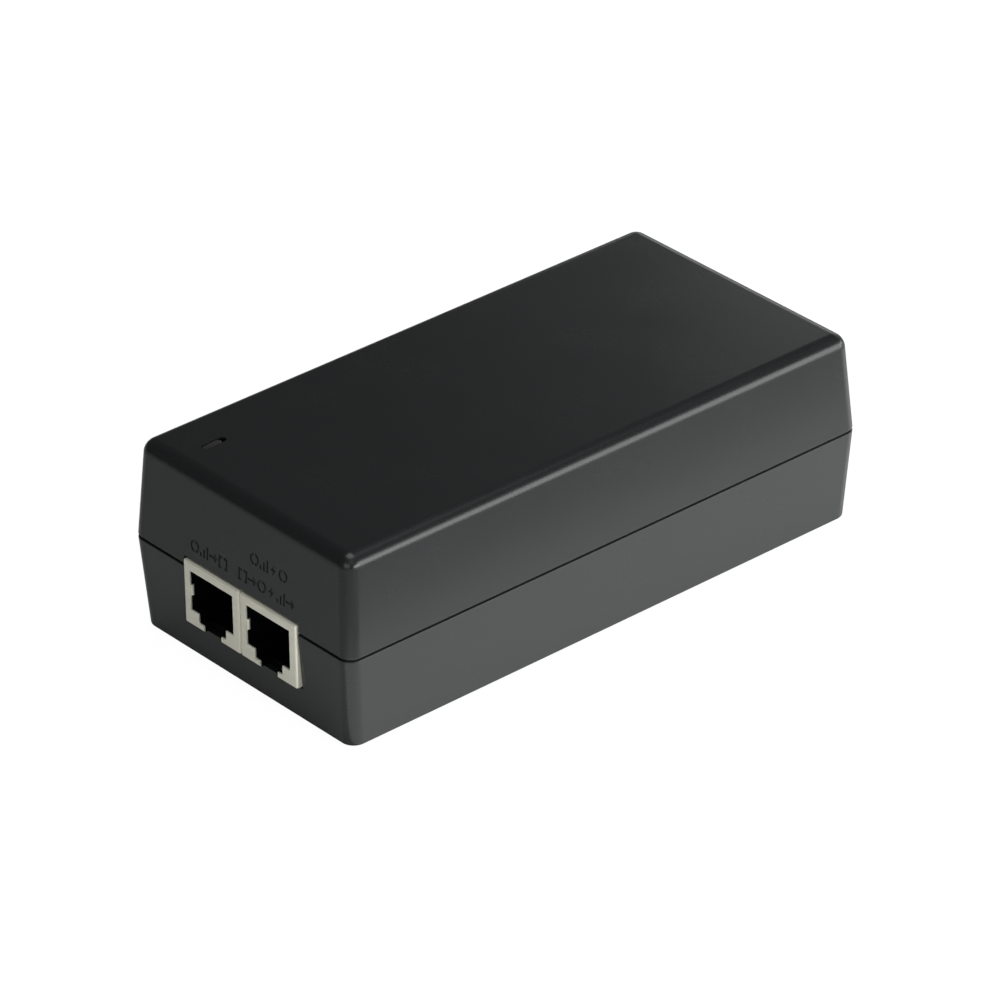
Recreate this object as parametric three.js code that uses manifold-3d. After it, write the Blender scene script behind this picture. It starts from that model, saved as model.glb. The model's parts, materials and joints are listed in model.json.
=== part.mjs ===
// Power-over-Ethernet injector: a two-shell plastic case with two 8P8C network sockets at one end,
// a mains inlet at the other, and the power converter on one circuit board between them.
// Millimetres, +Z up. The sockets face -Y, and the origin is on the table under the case's centre.
import * as THREE from "three";
import { mergeVertices } from "three/addons/utils/BufferGeometryUtils.js";
import Module from "manifold-3d";

const wasm = await Module();
wasm.setup();

// ---------------------------------------------------------------- driving dimensions
// Heights below are measured from the seam between the two shells, at z = 0 in the assembly.
const WIDTH = 60;
const LENGTH = 121.5;
const UPPER_HEIGHT = 19.6;
const LOWER_HEIGHT = 18.4;
const UPPER_INSET = 1.35; // how far the walls lean in from the seam to the top face
const LOWER_INSET = 1.15; // and from the seam to the underside
const CORNER_RADIUS = 2.7;
const TOP_EDGE_RADIUS = 2.6;
const BOTTOM_EDGE_RADIUS = 0.4;
const WALL = 2;
const SEAM_GAP = 0.4;
const CLEARANCE = 0.25; // between the case and what passes through its walls
const AIR = 0.1; // between pieces that rest on each other
const END_PROUD = 0.4; // how far the sockets and the inlet stand out of the case's ends

const FOOT_PROUD = 1;
const SEAM_Z = FOOT_PROUD + LOWER_HEIGHT;

const HALF_X = WIDTH / 2;
const HALF_Y = LENGTH / 2;
const FLOOR = -LOWER_HEIGHT + WALL; // inner face of the underside
const CEILING = UPPER_HEIGHT - WALL; // inner face of the top
const SOCKET_FRONT = -HALF_Y - END_PROUD;
const INLET_FRONT = HALF_Y + END_PROUD;

// Circuit board: the network sockets stand on its top face.
const BOARD_TOP = -11.5;
const BOARD_THICKNESS = 1.6;
const BOARD_BOTTOM = BOARD_TOP - BOARD_THICKNESS;
const BOARD_HALF_X = 26.5;
const BOARD_HALF_Y = 57.8;
const ON_BOARD = BOARD_TOP + AIR;

// Case screws, one near each corner.
const SCREW_X = 23.2;
const SCREW_Y = 54.2;
const BOSS_RADIUS = 3.1;
const BOSS_BOTTOM = BOARD_BOTTOM + AIR;
const SCREW_SEAT = FLOOR + 1;
const SCREW = {
  head: 2.7, // radii
  shank: 1.3,
  hole: 1.6,
  passage: 1.7,
  well: 3.2,
  post: 4,
  headHeight: 2.2,
  length: 12,
  drive: 3,
  driveWidth: 0.7,
};

// Network sockets: standard 8P8C jacks with the latch slot at the bottom.
const JACK = {
  pitch: 15.6,
  width: 15.4,
  top: 1.6,
  depth: 15.6,
  sheet: 0.3,
  foldRadius: 0.45,
  mouthWidth: 11.8,
  mouthTop: -0.2,
  shoulder: -8.2,
  latchWidth: 7.5,
  latchBottom: -10.1,
  slotWidth: 4.8,
};
const JACK_MIDDLE_X = 0.55;
const JACK_X = { data_in: JACK_MIDDLE_X - JACK.pitch / 2, power_out: JACK_MIDDLE_X + JACK.pitch / 2 };

// Spring contacts: each leg leaves a fold near the mouth and slopes down towards the back.
const CONTACT = {
  count: 8,
  pitch: 1.02,
  width: 0.46,
  thick: 0.3,
  pivotDepth: 4.7,
  pivotZ: 0.1,
  length: 8,
  slope: THREE.MathUtils.degToRad(24),
};
const CARRIER_DEPTH = 13.4; // where the plastic that holds the contacts closes the socket
const FINGER = { width: 0.6, inward: 0.15, depth: 0.36, low: -5.3, high: -3.2 }; // the shield's side springs

// Mains inlet: the standard three-blade appliance inlet with its earth side up.
const INLET = {
  width: 27,
  height: 20.4,
  depth: 21,
  mouthWidth: 24,
  mouthHeight: 16.4,
  mouthDepth: 16.5,
  chamfer: 4.5,
};
const INLET_MIDDLE_Z = ON_BOARD + INLET.height / 2;
const BLADE = { width: 2, height: 4, spacing: 7, rise: 2, taper: 1.2, tipDrop: 0.8, tail: 2 };

// Status lamp: a slot in the top with the end of a light pipe in it, nearer the slot's front.
const LAMP = {
  x: -18.2,
  y: -50.6,
  slotLength: 5.6,
  slotWidth: 1.9,
  headLength: 4.1,
  headWidth: 1.6,
  headShift: -0.6,
  collarRadius: 3,
  stemRadius: 1.4,
};
const LED = { radius: 1.5, flangeRadius: 1.9, bottom: ON_BOARD, top: ON_BOARD + 9, leadSpacing: 2.54 };

// Feet, and the recess for the rating label.
const FOOT = { x: 20.5, y: 41, radius: 4.5, recess: 0.5 };
const LABEL = { halfX: 15, halfY: 30, thick: 0.25, recess: 0.35, cornerRadius: 1 };
const LIP = { depth: 1.3, outer: 0.95, inner: 1.1 }; // the tongue that keys the two shells together

// The larger parts on the board, from the inlet's end to the sockets'. x and y are their centres.
const LEAD = 0.7;
const FUSE = { x: 20.5, y: 45, radius: 4.2, height: 8.7, leads: 5 };
const THERMISTOR = { x: -20, y: 46, radius: 5.5, thick: 4.5 };
const X_CAPACITOR = { x: 18.5, y: 31, sizeX: 8.5, sizeY: 18, height: 15, leads: 15 };
const CHOKE = { x: -12, y: 29, inner: 4, outer: 9, low: 2, high: 11 };
const BRIDGE = { x: 5.5, y: 30, sizeX: 4, sizeY: 15, low: 3, high: 14.5, pitch: 3.8 };
const BULK_CAPACITOR = { x: -18, y: 7, radius: 8, height: 25 };
const PRIMARY_SINK = { x: 22, y0: -8, y1: 18, face: 1 };
const Y_CAPACITOR = { x: -16, y: -8.5, radius: 4, thick: 3.5 };
const OPTOCOUPLER = { x: -10, y: -17, sizeX: 6.4, sizeY: 4.6, height: 3.8, leadsPerSide: 2, pitch: 2.54 };
const SECONDARY_SINK = { x: -22, y0: -40, y1: -14, face: -1 };
const OUTPUT_CAPACITORS = [
  { x: 17, y: -20, radius: 5, height: 21 },
  { x: 17, y: -32, radius: 5, height: 21 },
];
const OUTPUT_CHOKE = { x: 4.5, y: -22.5, flange: 5, waist: 4.3, height: 13 };
const DATA_TRANSFORMER = { x: 0, y: -37, sizeX: 12.6, sizeY: 12, height: 6, leadsPerSide: 8, pitch: 1.27 };
const SINK = { plate: 1.6, fin: 1, finReach: 2.6, finPitch: 5, height: 23 };
const TAB_PART = { width: 10, thick: 3.2, tab: 1.3, low: 5, middle: 14, high: 20, leadPitch: 2.54 };
const CORE = { x: 3, y: 2, size: 26, thick: 9, side: 3.8, leg: 8, yoke: 4, middle: ON_BOARD + 12 };
const BOBBIN = { wall: 0.6, flange: 1.2, flangeX: 17.6, flangeZ: 19, pinPitch: 4.4 };

// ---------------------------------------------------------------- shape helpers
function solidOf(shape) {
  if (shape instanceof wasm.Manifold) return shape;
  const bare = shape.clone();
  bare.deleteAttribute("normal");
  bare.deleteAttribute("uv");
  const merged = mergeVertices(bare, 1e-4);
  const triVerts = new Uint32Array(merged.index.array);
  return new wasm.Manifold(
    new wasm.Mesh({ numProp: 3, vertProperties: merged.attributes.position.array, triVerts }),
  );
}

function geometryOf(solid) {
  const { numProp, numVert, vertProperties, triVerts } = solid.getMesh();
  const points = new Float32Array(numVert * 3);
  for (let i = 0; i < numVert; i++) {
    points.set(vertProperties.subarray(i * numProp, i * numProp + 3), i * 3);
  }
  return new THREE.BufferGeometry()
    .setAttribute("position", new THREE.BufferAttribute(points, 3))
    .setIndex(new THREE.BufferAttribute(triVerts, 1));
}

const join = (...shapes) => shapes.map(solidOf).reduce((a, b) => a.add(b));
const cut = (body, ...tools) => tools.map(solidOf).reduce((a, b) => a.subtract(b), solidOf(body));

function box(x0, x1, y0, y1, z0, z1) {
  const block = new THREE.BoxGeometry(x1 - x0, y1 - y0, z1 - z0);
  return block.translate((x0 + x1) / 2, (y0 + y1) / 2, (z0 + z1) / 2);
}

// A box centred on x and y that stands on z0.
const blockAt = (x, y, sizeX, sizeY, z0, z1) =>
  box(x - sizeX / 2, x + sizeX / 2, y - sizeY / 2, y + sizeY / 2, z0, z1);

function postAt(x, y, radius, z0, z1, sides = 20) {
  const post = new THREE.CylinderGeometry(radius, radius, z1 - z0, sides);
  return post.rotateX(Math.PI / 2).translate(x, y, (z0 + z1) / 2);
}

// A lathe round the vertical axis through (x, y). Each profile point is [radius, z].
function latheAt(x, y, profile, sides = 24) {
  const points = profile.map(([r, z]) => new THREE.Vector2(r, z));
  return new THREE.LatheGeometry(points, sides).rotateX(Math.PI / 2).translate(x, y, 0);
}

function roundedRect(halfX, halfY, radius) {
  const shape = new THREE.Shape();
  const [cx, cy] = [halfX - radius, halfY - radius];
  shape.absarc(cx, cy, radius, 0, Math.PI / 2);
  shape.absarc(-cx, cy, radius, Math.PI / 2, Math.PI);
  shape.absarc(-cx, -cy, radius, Math.PI, 1.5 * Math.PI);
  shape.absarc(cx, -cy, radius, 1.5 * Math.PI, 2 * Math.PI);
  return shape;
}

// A slot with round ends, its length along y.
const slotOutline = (width, length) => roundedRect(width / 2, length / 2, width / 2 - 0.01);

const polygon = (points) => new THREE.Shape(points.map(([x, y]) => new THREE.Vector2(x, y)));

function prismZ(shape, z0, z1, curveSegments = 6) {
  const options = { depth: z1 - z0, bevelEnabled: false, curveSegments };
  return new THREE.ExtrudeGeometry(shape, options).translate(0, 0, z0);
}

// A shape drawn in x and z, extruded from y0 to y1.
const prismY = (shape, y0, y1, curveSegments = 6) =>
  prismZ(shape, 0, y1 - y0, curveSegments).rotateX(Math.PI / 2).translate(0, y1, 0);

// A shape drawn in y and z, extruded from x0 to x1.
function prismX(shape, x0, x1) {
  const turn = new THREE.Matrix4().makeBasis(
    new THREE.Vector3(0, 1, 0),
    new THREE.Vector3(0, 0, 1),
    new THREE.Vector3(1, 0, 0),
  );
  return prismZ(shape, 0, x1 - x0).applyMatrix4(turn).translate(x0, 0, 0);
}

// A rounded rectangle that rises from below z = 0 to height, leans in by inset and ends in a rounded edge.
function leaningBlock(halfX, halfY, height, inset, cornerRadius, edgeRadius) {
  const run = 3; // how far it reaches below z = 0
  const outline = roundedRect(halfX, halfY, cornerRadius);
  const options = {
    depth: height - edgeRadius + run,
    bevelThickness: edgeRadius,
    bevelSize: edgeRadius,
    bevelOffset: -edgeRadius,
    bevelSegments: 4,
    curveSegments: 4,
  };
  const block = new THREE.ExtrudeGeometry(outline, options).translate(0, 0, -run);
  const position = block.attributes.position;
  for (let i = 0; i < position.count; i++) {
    const lean = (inset * position.getZ(i)) / height;
    position.setX(i, (position.getX(i) * (halfX - lean)) / halfX);
    position.setY(i, (position.getY(i) * (halfY - lean)) / halfY);
  }
  return block;
}

// The case's outer form, or a smaller copy of it set in by offset, above the seam and below it.
function shellBlock(offset, height, lean, edgeRadius) {
  const cornerRadius = Math.max(CORNER_RADIUS - offset, edgeRadius + 0.1);
  return leaningBlock(HALF_X - offset, HALF_Y - offset, height, lean * height, cornerRadius, edgeRadius);
}
const upperBlock = (offset, height, edgeRadius) =>
  shellBlock(offset, height, UPPER_INSET / UPPER_HEIGHT, edgeRadius);
const lowerBlock = (offset, height, edgeRadius) =>
  shellBlock(offset, height, LOWER_INSET / LOWER_HEIGHT, edgeRadius).rotateX(Math.PI);

const corners = [];
for (const sx of [-1, 1]) {
  for (const sy of [-1, 1]) corners.push([sx, sy]);
}

// ---------------------------------------------------------------- materials
const paint = (color, roughness, metalness = 0) =>
  new THREE.MeshStandardMaterial({ color, roughness, metalness });
const MATERIALS = {
  casing: paint(0x242526, 0.55),
  rubber: paint(0x161616, 0.85),
  label: paint(0x9a9c9e, 0.5),
  screw_steel: paint(0x8d8f92, 0.35, 1),
  smoked_lens: paint(0x6b6a62, 0.2),
  jack_shield: paint(0xbdb8a8, 0.4, 1),
  jack_plastic: paint(0x0c0c0d, 0.5),
  contact_gold: paint(0xc9a24a, 0.25, 1),
  inlet_plastic: paint(0x161617, 0.45),
  pin_nickel: paint(0xb5b3ac, 0.3, 1),
  board: paint(0x1f5a36, 0.5),
  fish_paper: paint(0x6f7a72, 0.8),
  fuse_body: paint(0x3a2a22, 0.5),
  thermistor_green: paint(0x28402c, 0.6),
  film_yellow: paint(0xd2a21c, 0.5),
  choke_copper: paint(0x9c4a24, 0.35),
  epoxy_black: paint(0x141414, 0.5),
  capacitor_sleeve: paint(0x1b2440, 0.4),
  heatsink: paint(0xa6a8ab, 0.4, 1),
  ferrite: paint(0x2b2b2d, 0.6),
  bobbin: paint(0x1c1c1c, 0.6),
  winding_tape: paint(0xd6b53a, 0.45),
  disc_blue: paint(0x2f6fae, 0.4),
};

// ---------------------------------------------------------------- case
// What passes through the end walls: both sockets together, and the inlet.
const REACH = 7; // how far a cutting block runs past the wall that it cuts
const socketHole = box(
  JACK_X.data_in - JACK.width / 2 - CLEARANCE,
  JACK_X.power_out + JACK.width / 2 + CLEARANCE,
  -HALF_Y - REACH,
  -HALF_Y + REACH,
  BOARD_TOP - CLEARANCE,
  JACK.top + CLEARANCE,
);
const inletHole = box(
  -INLET.width / 2 - CLEARANCE,
  INLET.width / 2 + CLEARANCE,
  HALF_Y - REACH,
  HALF_Y + REACH,
  ON_BOARD - CLEARANCE,
  ON_BOARD + INLET.height + CLEARANCE,
);

// A layer wider than the case, between two heights.
const layer = (z0, z1) => box(-HALF_X - REACH, HALF_X + REACH, -HALF_Y - REACH, HALF_Y + REACH, z0, z1);
const INNER_EDGE = 0.8; // radius of the edges inside the case
const RIB = { x: 9, width: 1.2, halfLength: 40, height: 1.2 };

function topShell() {
  const rebate = cut(upperBlock(LIP.outer, CEILING, INNER_EDGE), layer(LIP.depth + CLEARANCE, UPPER_HEIGHT));
  const outside = upperBlock(0, UPPER_HEIGHT, TOP_EDGE_RADIUS);
  const inside = upperBlock(WALL, CEILING, INNER_EDGE);
  let shell = cut(outside, inside, layer(-REACH, SEAM_GAP / 2), rebate);
  for (const [sx, sy] of corners) {
    const [x, y] = [sx * SCREW_X, sy * SCREW_Y];
    const boss = postAt(x, y, BOSS_RADIUS, BOSS_BOTTOM, CEILING + 1, 16);
    const pilot = postAt(x, y, SCREW.hole, BOSS_BOTTOM - 1, BOSS_BOTTOM + SCREW.length, 12);
    shell = cut(join(shell, boss), pilot);
  }
  for (const x of [-RIB.x, RIB.x]) {
    shell = join(shell, blockAt(x, 0, RIB.width, 2 * RIB.halfLength, CEILING - RIB.height, CEILING + 0.5));
  }
  const slot = slotOutline(LAMP.slotWidth, LAMP.slotLength);
  const lampSlot = prismZ(slot, CEILING - 1, UPPER_HEIGHT + 1, 4).translate(LAMP.x, LAMP.y, 0);
  return cut(shell, lampSlot, socketHole, inletHole);
}

const UNDERSIDE = -LOWER_HEIGHT;
const BOARD_POST = { x: 23.5, y: 24, radius: 1.8 };

function bottomShell() {
  const outside = cut(lowerBlock(0, LOWER_HEIGHT, BOTTOM_EDGE_RADIUS), layer(-SEAM_GAP / 2, REACH));
  const tongue = cut(
    upperBlock(LIP.inner, CEILING, INNER_EDGE),
    layer(LIP.depth, UPPER_HEIGHT),
    layer(-REACH, -1),
  );
  let shell = cut(join(outside, tongue), lowerBlock(WALL, -FLOOR, INNER_EDGE));
  for (const [sx, sy] of corners) {
    const [x, y] = [sx * SCREW_X, sy * SCREW_Y];
    shell = join(
      shell,
      postAt(x, y, SCREW.post, FLOOR - 0.5, BOSS_BOTTOM - AIR, 20),
      postAt(sx * BOARD_POST.x, sy * BOARD_POST.y, BOARD_POST.radius, FLOOR - 0.5, BOARD_BOTTOM - AIR, 12),
    );
    const footSeat = UNDERSIDE + FOOT.recess;
    shell = cut(
      shell,
      postAt(x, y, SCREW.well, UNDERSIDE - 1, SCREW_SEAT, 20),
      postAt(x, y, SCREW.passage, UNDERSIDE - 1, 0, 12),
      postAt(sx * FOOT.x, sy * FOOT.y, FOOT.radius + CLEARANCE, UNDERSIDE - 1, footSeat, 24),
    );
  }
  const seat = roundedRect(LABEL.halfX + CLEARANCE, LABEL.halfY + CLEARANCE, LABEL.cornerRadius + CLEARANCE);
  const labelSeat = prismZ(seat, UNDERSIDE - 1, UNDERSIDE + LABEL.recess, 2);
  return cut(shell, labelSeat, socketHole, inletHole);
}

function caseScrew(x, y) {
  const { head, shank, headHeight, length, drive, driveWidth } = SCREW;
  const screw = latheAt(x, y, [
    [0, SCREW_SEAT - headHeight],
    [head - 0.7, SCREW_SEAT - headHeight],
    [head, SCREW_SEAT - headHeight + 0.7],
    [head, SCREW_SEAT - AIR],
    [shank, SCREW_SEAT - AIR],
    [shank, SCREW_SEAT + length - 1.5],
    [0, SCREW_SEAT + length],
  ], 16);
  const recessTop = SCREW_SEAT - headHeight / 2;
  return cut(
    screw,
    blockAt(x, y, driveWidth, drive, SCREW_SEAT - 3, recessTop),
    blockAt(x, y, drive, driveWidth, SCREW_SEAT - 3, recessTop),
  );
}

function rubberFoot(x, y) {
  const top = UNDERSIDE + FOOT.recess - AIR;
  const bevel = 0.5;
  return latheAt(x, y, [
    [0, -SEAM_Z],
    [FOOT.radius - bevel, -SEAM_Z],
    [FOOT.radius, bevel - SEAM_Z],
    [FOOT.radius, top],
    [0, top],
  ]);
}

function ratingLabel() {
  const top = UNDERSIDE + LABEL.recess - AIR / 2;
  return prismZ(roundedRect(LABEL.halfX, LABEL.halfY, LABEL.cornerRadius), top - LABEL.thick, top, 3);
}

// ---------------------------------------------------------------- status lamp
function lightPipe() {
  const { x, y, headWidth, headLength, headShift, collarRadius, stemRadius } = LAMP;
  const crownStep = 0.3;
  const head = prismZ(slotOutline(headWidth, headLength), CEILING - 1.4, UPPER_HEIGHT - 0.4, 4);
  const crownOutline = slotOutline(headWidth - 2 * crownStep, headLength - 2 * crownStep);
  const crown = prismZ(crownOutline, UPPER_HEIGHT - 0.6, UPPER_HEIGHT - 0.1, 4);
  return join(
    head.translate(x, y + headShift, 0),
    crown.translate(x, y + headShift, 0),
    postAt(x, y, collarRadius, CEILING - 1.6, CEILING - AIR, 20),
    postAt(x, y, stemRadius, LED.top + 0.6, CEILING - 1, 16),
  );
}

function statusLed() {
  const { x, y } = LAMP;
  const { radius, flangeRadius, bottom, top, leadSpacing } = LED;
  const lens = latheAt(x, y, [
    [0, top - 5.2],
    [flangeRadius, top - 5.2],
    [flangeRadius, top - 4.2],
    [radius, top - 4.2],
    [radius, top - 1.3],
    [0.75 * radius, top - 0.4],
    [0, top],
  ], 16);
  const leads = [-1, 1].map((side) => blockAt(x, y + (side * leadSpacing) / 2, 0.5, 0.5, bottom, top - 5));
  return join(lens, ...leads);
}

// ---------------------------------------------------------------- network sockets
// The socket's stepped outline in x and z: a wide mouth, the latch's shoulder and the slot below it.
function mouthOutline(x, grow, bottom) {
  const half = JACK.mouthWidth / 2 + grow;
  const latch = JACK.latchWidth / 2 + grow;
  const slot = JACK.slotWidth / 2 + grow;
  const [top, shoulder, latchBottom] = [JACK.mouthTop + grow, JACK.shoulder - grow, JACK.latchBottom - grow];
  return polygon([
    [x - half, top],
    [x - half, shoulder],
    [x - latch, shoulder],
    [x - latch, latchBottom],
    [x - slot, latchBottom],
    [x - slot, bottom],
    [x + slot, bottom],
    [x + slot, latchBottom],
    [x + latch, latchBottom],
    [x + latch, shoulder],
    [x + half, shoulder],
    [x + half, top],
  ]);
}

const JACK_BACK = SOCKET_FRONT + JACK.depth;
const JACK_PEG = { spread: 5.7, y: SOCKET_FRONT + 9, radius: 1.5 };
const CARRIER = { halfX: 4.9, top: 0.65 };
const TONGUE = { halfX: 4.4, front: 5.3, bottom: 0.25 };
const COMB = { bottom: -3.6, depth: 2.2, tooth: 0.28 };

function jackShield(x) {
  const { width, depth, sheet, foldRadius, top } = JACK;
  const sleeve = (setIn, z0, z1) =>
    prismZ(roundedRect(width / 2 - setIn, depth / 2 - setIn, foldRadius - setIn), z0, z1, 3)
      .translate(x, SOCKET_FRONT + depth / 2, 0);
  const mouth = prismY(mouthOutline(x, 0.05, BOARD_TOP - 2), SOCKET_FRONT - 1, SOCKET_FRONT + 1);
  let shield = cut(sleeve(0, ON_BOARD, top), sleeve(sheet, BOARD_TOP - 2, top - sheet), mouth);
  for (const side of [-1, 1]) {
    const middle = x + side * (JACK.mouthWidth / 2 - FINGER.inward / 2);
    const y = SOCKET_FRONT + FINGER.depth / 2 + 0.02;
    shield = join(shield, blockAt(middle, y, FINGER.width, FINGER.depth, FINGER.low, FINGER.high));
  }
  return shield;
}

function jackHousing(x) {
  const half = JACK.width / 2 - JACK.sheet - AIR;
  const top = JACK.top - JACK.sheet - AIR;
  const front = SOCKET_FRONT + JACK.sheet + AIR;
  const back = JACK_BACK - JACK.sheet - AIR;
  const [wellLow, wellHigh] = [FINGER.low - 0.3, FINGER.high + 0.3];
  const fingerWells = [-1, 1].map((side) =>
    blockAt(x + (side * JACK.mouthWidth) / 2, front, 2 * FINGER.width, 1, wellLow, wellHigh),
  );
  const pegs = [-1, 1].map((side) =>
    postAt(x + side * JACK_PEG.spread, JACK_PEG.y, JACK_PEG.radius, BOARD_BOTTOM, ON_BOARD + 1, 12),
  );
  const carrierSeat = CARRIER.halfX + AIR;
  const seatTop = CARRIER.top + AIR;
  const pivotRoom = SOCKET_FRONT + CONTACT.pivotDepth - 0.8;
  const wallFront = SOCKET_FRONT + CARRIER_DEPTH - AIR;
  return cut(
    join(box(x - half, x + half, front, back, ON_BOARD, top), ...pegs),
    prismY(mouthOutline(x, 0, JACK.latchBottom), front - 1, SOCKET_FRONT + CARRIER_DEPTH),
    blockAt(x, front, JACK.slotWidth, 4, ON_BOARD - 1, JACK.latchBottom + 0.2),
    box(x - carrierSeat, x + carrierSeat, pivotRoom, back + 1, JACK.mouthTop - 1, seatTop),
    box(x - carrierSeat, x + carrierSeat, wallFront, back + 1, JACK.shoulder, seatTop),
    ...fingerWells,
  );
}

// The insulating insert that closes the socket's back, with a comb between the contacts' free ends.
function contactCarrier(x) {
  const face = SOCKET_FRONT + CARRIER_DEPTH;
  const back = JACK_BACK - JACK.sheet - 2 * AIR;
  const wall = box(x - CARRIER.halfX, x + CARRIER.halfX, face, back, JACK.shoulder + AIR, CARRIER.top);
  const tongueFront = SOCKET_FRONT + TONGUE.front;
  const tongue = box(x - TONGUE.halfX, x + TONGUE.halfX, tongueFront, face + 1, TONGUE.bottom, CARRIER.top);
  const teeth = [];
  for (let i = 0; i <= CONTACT.count; i++) {
    const middle = x + (i - CONTACT.count / 2) * CONTACT.pitch;
    const [left, right] = [middle - COMB.tooth / 2, middle + COMB.tooth / 2];
    teeth.push(box(left, right, face - COMB.depth, face + 0.5, COMB.bottom, TONGUE.bottom + 0.1));
  }
  return join(wall, tongue, ...teeth);
}

// One spring contact: a bead at the fold, the sloping leg and a tip turned a little level.
function springContact(x) {
  const { thick, pivotDepth, pivotZ, length, slope, width } = CONTACT;
  const along = (d, up) => [
    SOCKET_FRONT + pivotDepth + d * Math.cos(slope) + up * Math.sin(slope),
    pivotZ - d * Math.sin(slope) + up * Math.cos(slope),
  ];
  const half = thick / 2;
  const profile = polygon([
    along(-0.25, -half),
    along(length, -half),
    along(length + 0.5, half),
    along(length + 0.35, half + 0.2),
    along(length - 0.25, half),
    along(0.1, half),
    along(-0.25, half),
  ]);
  return prismX(profile, x - width / 2, x + width / 2);
}

// ---------------------------------------------------------------- mains inlet
const INLET_BACK = INLET_FRONT - INLET.depth;
const blades = [
  { name: "inlet_line_pin", x: BLADE.spacing, z: INLET_MIDDLE_Z - BLADE.rise, recess: 3 },
  { name: "inlet_neutral_pin", x: -BLADE.spacing, z: INLET_MIDDLE_Z - BLADE.rise, recess: 3 },
  { name: "inlet_earth_pin", x: 0, z: INLET_MIDDLE_Z + BLADE.rise, recess: 1.5 },
];

function inletBody() {
  const half = INLET.mouthWidth / 2;
  const [low, high] = [INLET_MIDDLE_Z - INLET.mouthHeight / 2, INLET_MIDDLE_Z + INLET.mouthHeight / 2];
  const mouth = polygon([
    [-half, low],
    [half, low],
    [half, high - INLET.chamfer],
    [half - INLET.chamfer, high],
    [-half + INLET.chamfer, high],
    [-half, high - INLET.chamfer],
  ]);
  const [reachX, reachZ] = [BLADE.width / 2 + AIR, BLADE.height / 2 + AIR];
  const passages = blades.map(({ x, z }) =>
    box(x - reachX, x + reachX, INLET_BACK - 1, INLET_FRONT, z - reachZ, z + reachZ),
  );
  return cut(
    box(-INLET.width / 2, INLET.width / 2, INLET_BACK, INLET_FRONT, ON_BOARD, ON_BOARD + INLET.height),
    prismY(mouth, INLET_FRONT - INLET.mouthDepth, INLET_FRONT + 1),
    ...passages,
  );
}

// A flat blade with a tapered tip, its tag bent down to the board behind the inlet.
function inletBlade({ x, z, recess }) {
  const back = INLET_BACK - BLADE.tail;
  const tip = INLET_FRONT - recess;
  const [low, high] = [z - BLADE.height / 2, z + BLADE.height / 2];
  const side = polygon([
    [back, low],
    [tip - BLADE.taper, low],
    [tip, low + BLADE.tipDrop],
    [tip, high - BLADE.tipDrop],
    [tip - BLADE.taper, high],
    [back, high],
  ]);
  return join(
    prismX(side, x - BLADE.width / 2, x + BLADE.width / 2),
    box(x - 0.8, x + 0.8, back, back + 1, ON_BOARD, low + 1),
  );
}

// ---------------------------------------------------------------- board and its parts
function circuitBoard() {
  const [low, high] = [BOARD_BOTTOM - 1, BOARD_TOP + 1];
  const notchX = 2 * (BOARD_HALF_X - SCREW_X + BOSS_RADIUS + 0.6);
  const notchY = 2 * (BOARD_HALF_Y - SCREW_Y + BOSS_RADIUS + 0.6);
  const notches = corners.map(([sx, sy]) =>
    blockAt(sx * BOARD_HALF_X, sy * BOARD_HALF_Y, notchX, notchY, low, high),
  );
  const pegHoles = Object.values(JACK_X).flatMap((x) =>
    [-1, 1].map((side) =>
      postAt(x + side * JACK_PEG.spread, JACK_PEG.y, JACK_PEG.radius + CLEARANCE, low, high, 12),
    ),
  );
  const sheet = box(-BOARD_HALF_X, BOARD_HALF_X, -BOARD_HALF_Y, BOARD_HALF_Y, BOARD_BOTTOM, BOARD_TOP);
  return cut(sheet, ...notches, ...pegHoles);
}

const insulatingSheet = () => prismZ(roundedRect(18, 44, 3), FLOOR + AIR, FLOOR + AIR + 0.35, 2);

// An upright part on two leads, as one solid. The leads are apart along x, or along y.
function onLeads(body, { x, y }, spacing, bodyBottom, alongX = true) {
  const leads = [-1, 1].map((side) => {
    const offset = (side * spacing) / 2;
    const [leadX, leadY] = alongX ? [x + offset, y] : [x, y + offset];
    return blockAt(leadX, leadY, LEAD, LEAD, ON_BOARD, bodyBottom + 1);
  });
  return join(body, ...leads);
}

function fuse() {
  const bottom = ON_BOARD + 1;
  const body = postAt(FUSE.x, FUSE.y, FUSE.radius, bottom, ON_BOARD + FUSE.height);
  return onLeads(body, FUSE, FUSE.leads, bottom);
}

// A thick disc standing on edge, on two leads; its flat faces look along y.
function standingDisc(place) {
  const { x, y, radius, thick } = place;
  const disc = new THREE.CylinderGeometry(radius, radius, thick, 24).translate(x, y, ON_BOARD + 2 + radius);
  return onLeads(disc, place, radius, ON_BOARD + 3);
}

function xCapacitor() {
  const { x, y, sizeX, sizeY, height, leads } = X_CAPACITOR;
  const bottom = ON_BOARD + 0.6;
  return onLeads(blockAt(x, y, sizeX, sizeY, bottom, ON_BOARD + height), X_CAPACITOR, leads, bottom, false);
}

// A wound ring on a square base, with a wall between its two windings.
function commonModeChoke() {
  const { x, y, inner, outer } = CHOKE;
  const [low, high] = [ON_BOARD + CHOKE.low, ON_BOARD + CHOKE.high];
  const ring = latheAt(x, y, [
    [inner, low],
    [outer, low],
    [outer, high],
    [inner, high],
    [inner, low],
  ]);
  const base = blockAt(x, y, 2 * outer, 2 * outer, ON_BOARD, low + 0.2);
  const divider = blockAt(x, y, 1.6, 2 * inner + 2, low, high + 1);
  return join(ring, base, divider);
}

function bridgeRectifier() {
  const { x, y, sizeX, sizeY, low, high, pitch } = BRIDGE;
  const body = blockAt(x, y, sizeX, sizeY, ON_BOARD + low, ON_BOARD + high);
  const leads = [-1.5, -0.5, 0.5, 1.5].map((k) =>
    blockAt(x, y + k * pitch, LEAD, 1, ON_BOARD, ON_BOARD + low + 1),
  );
  return join(body, ...leads);
}

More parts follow.
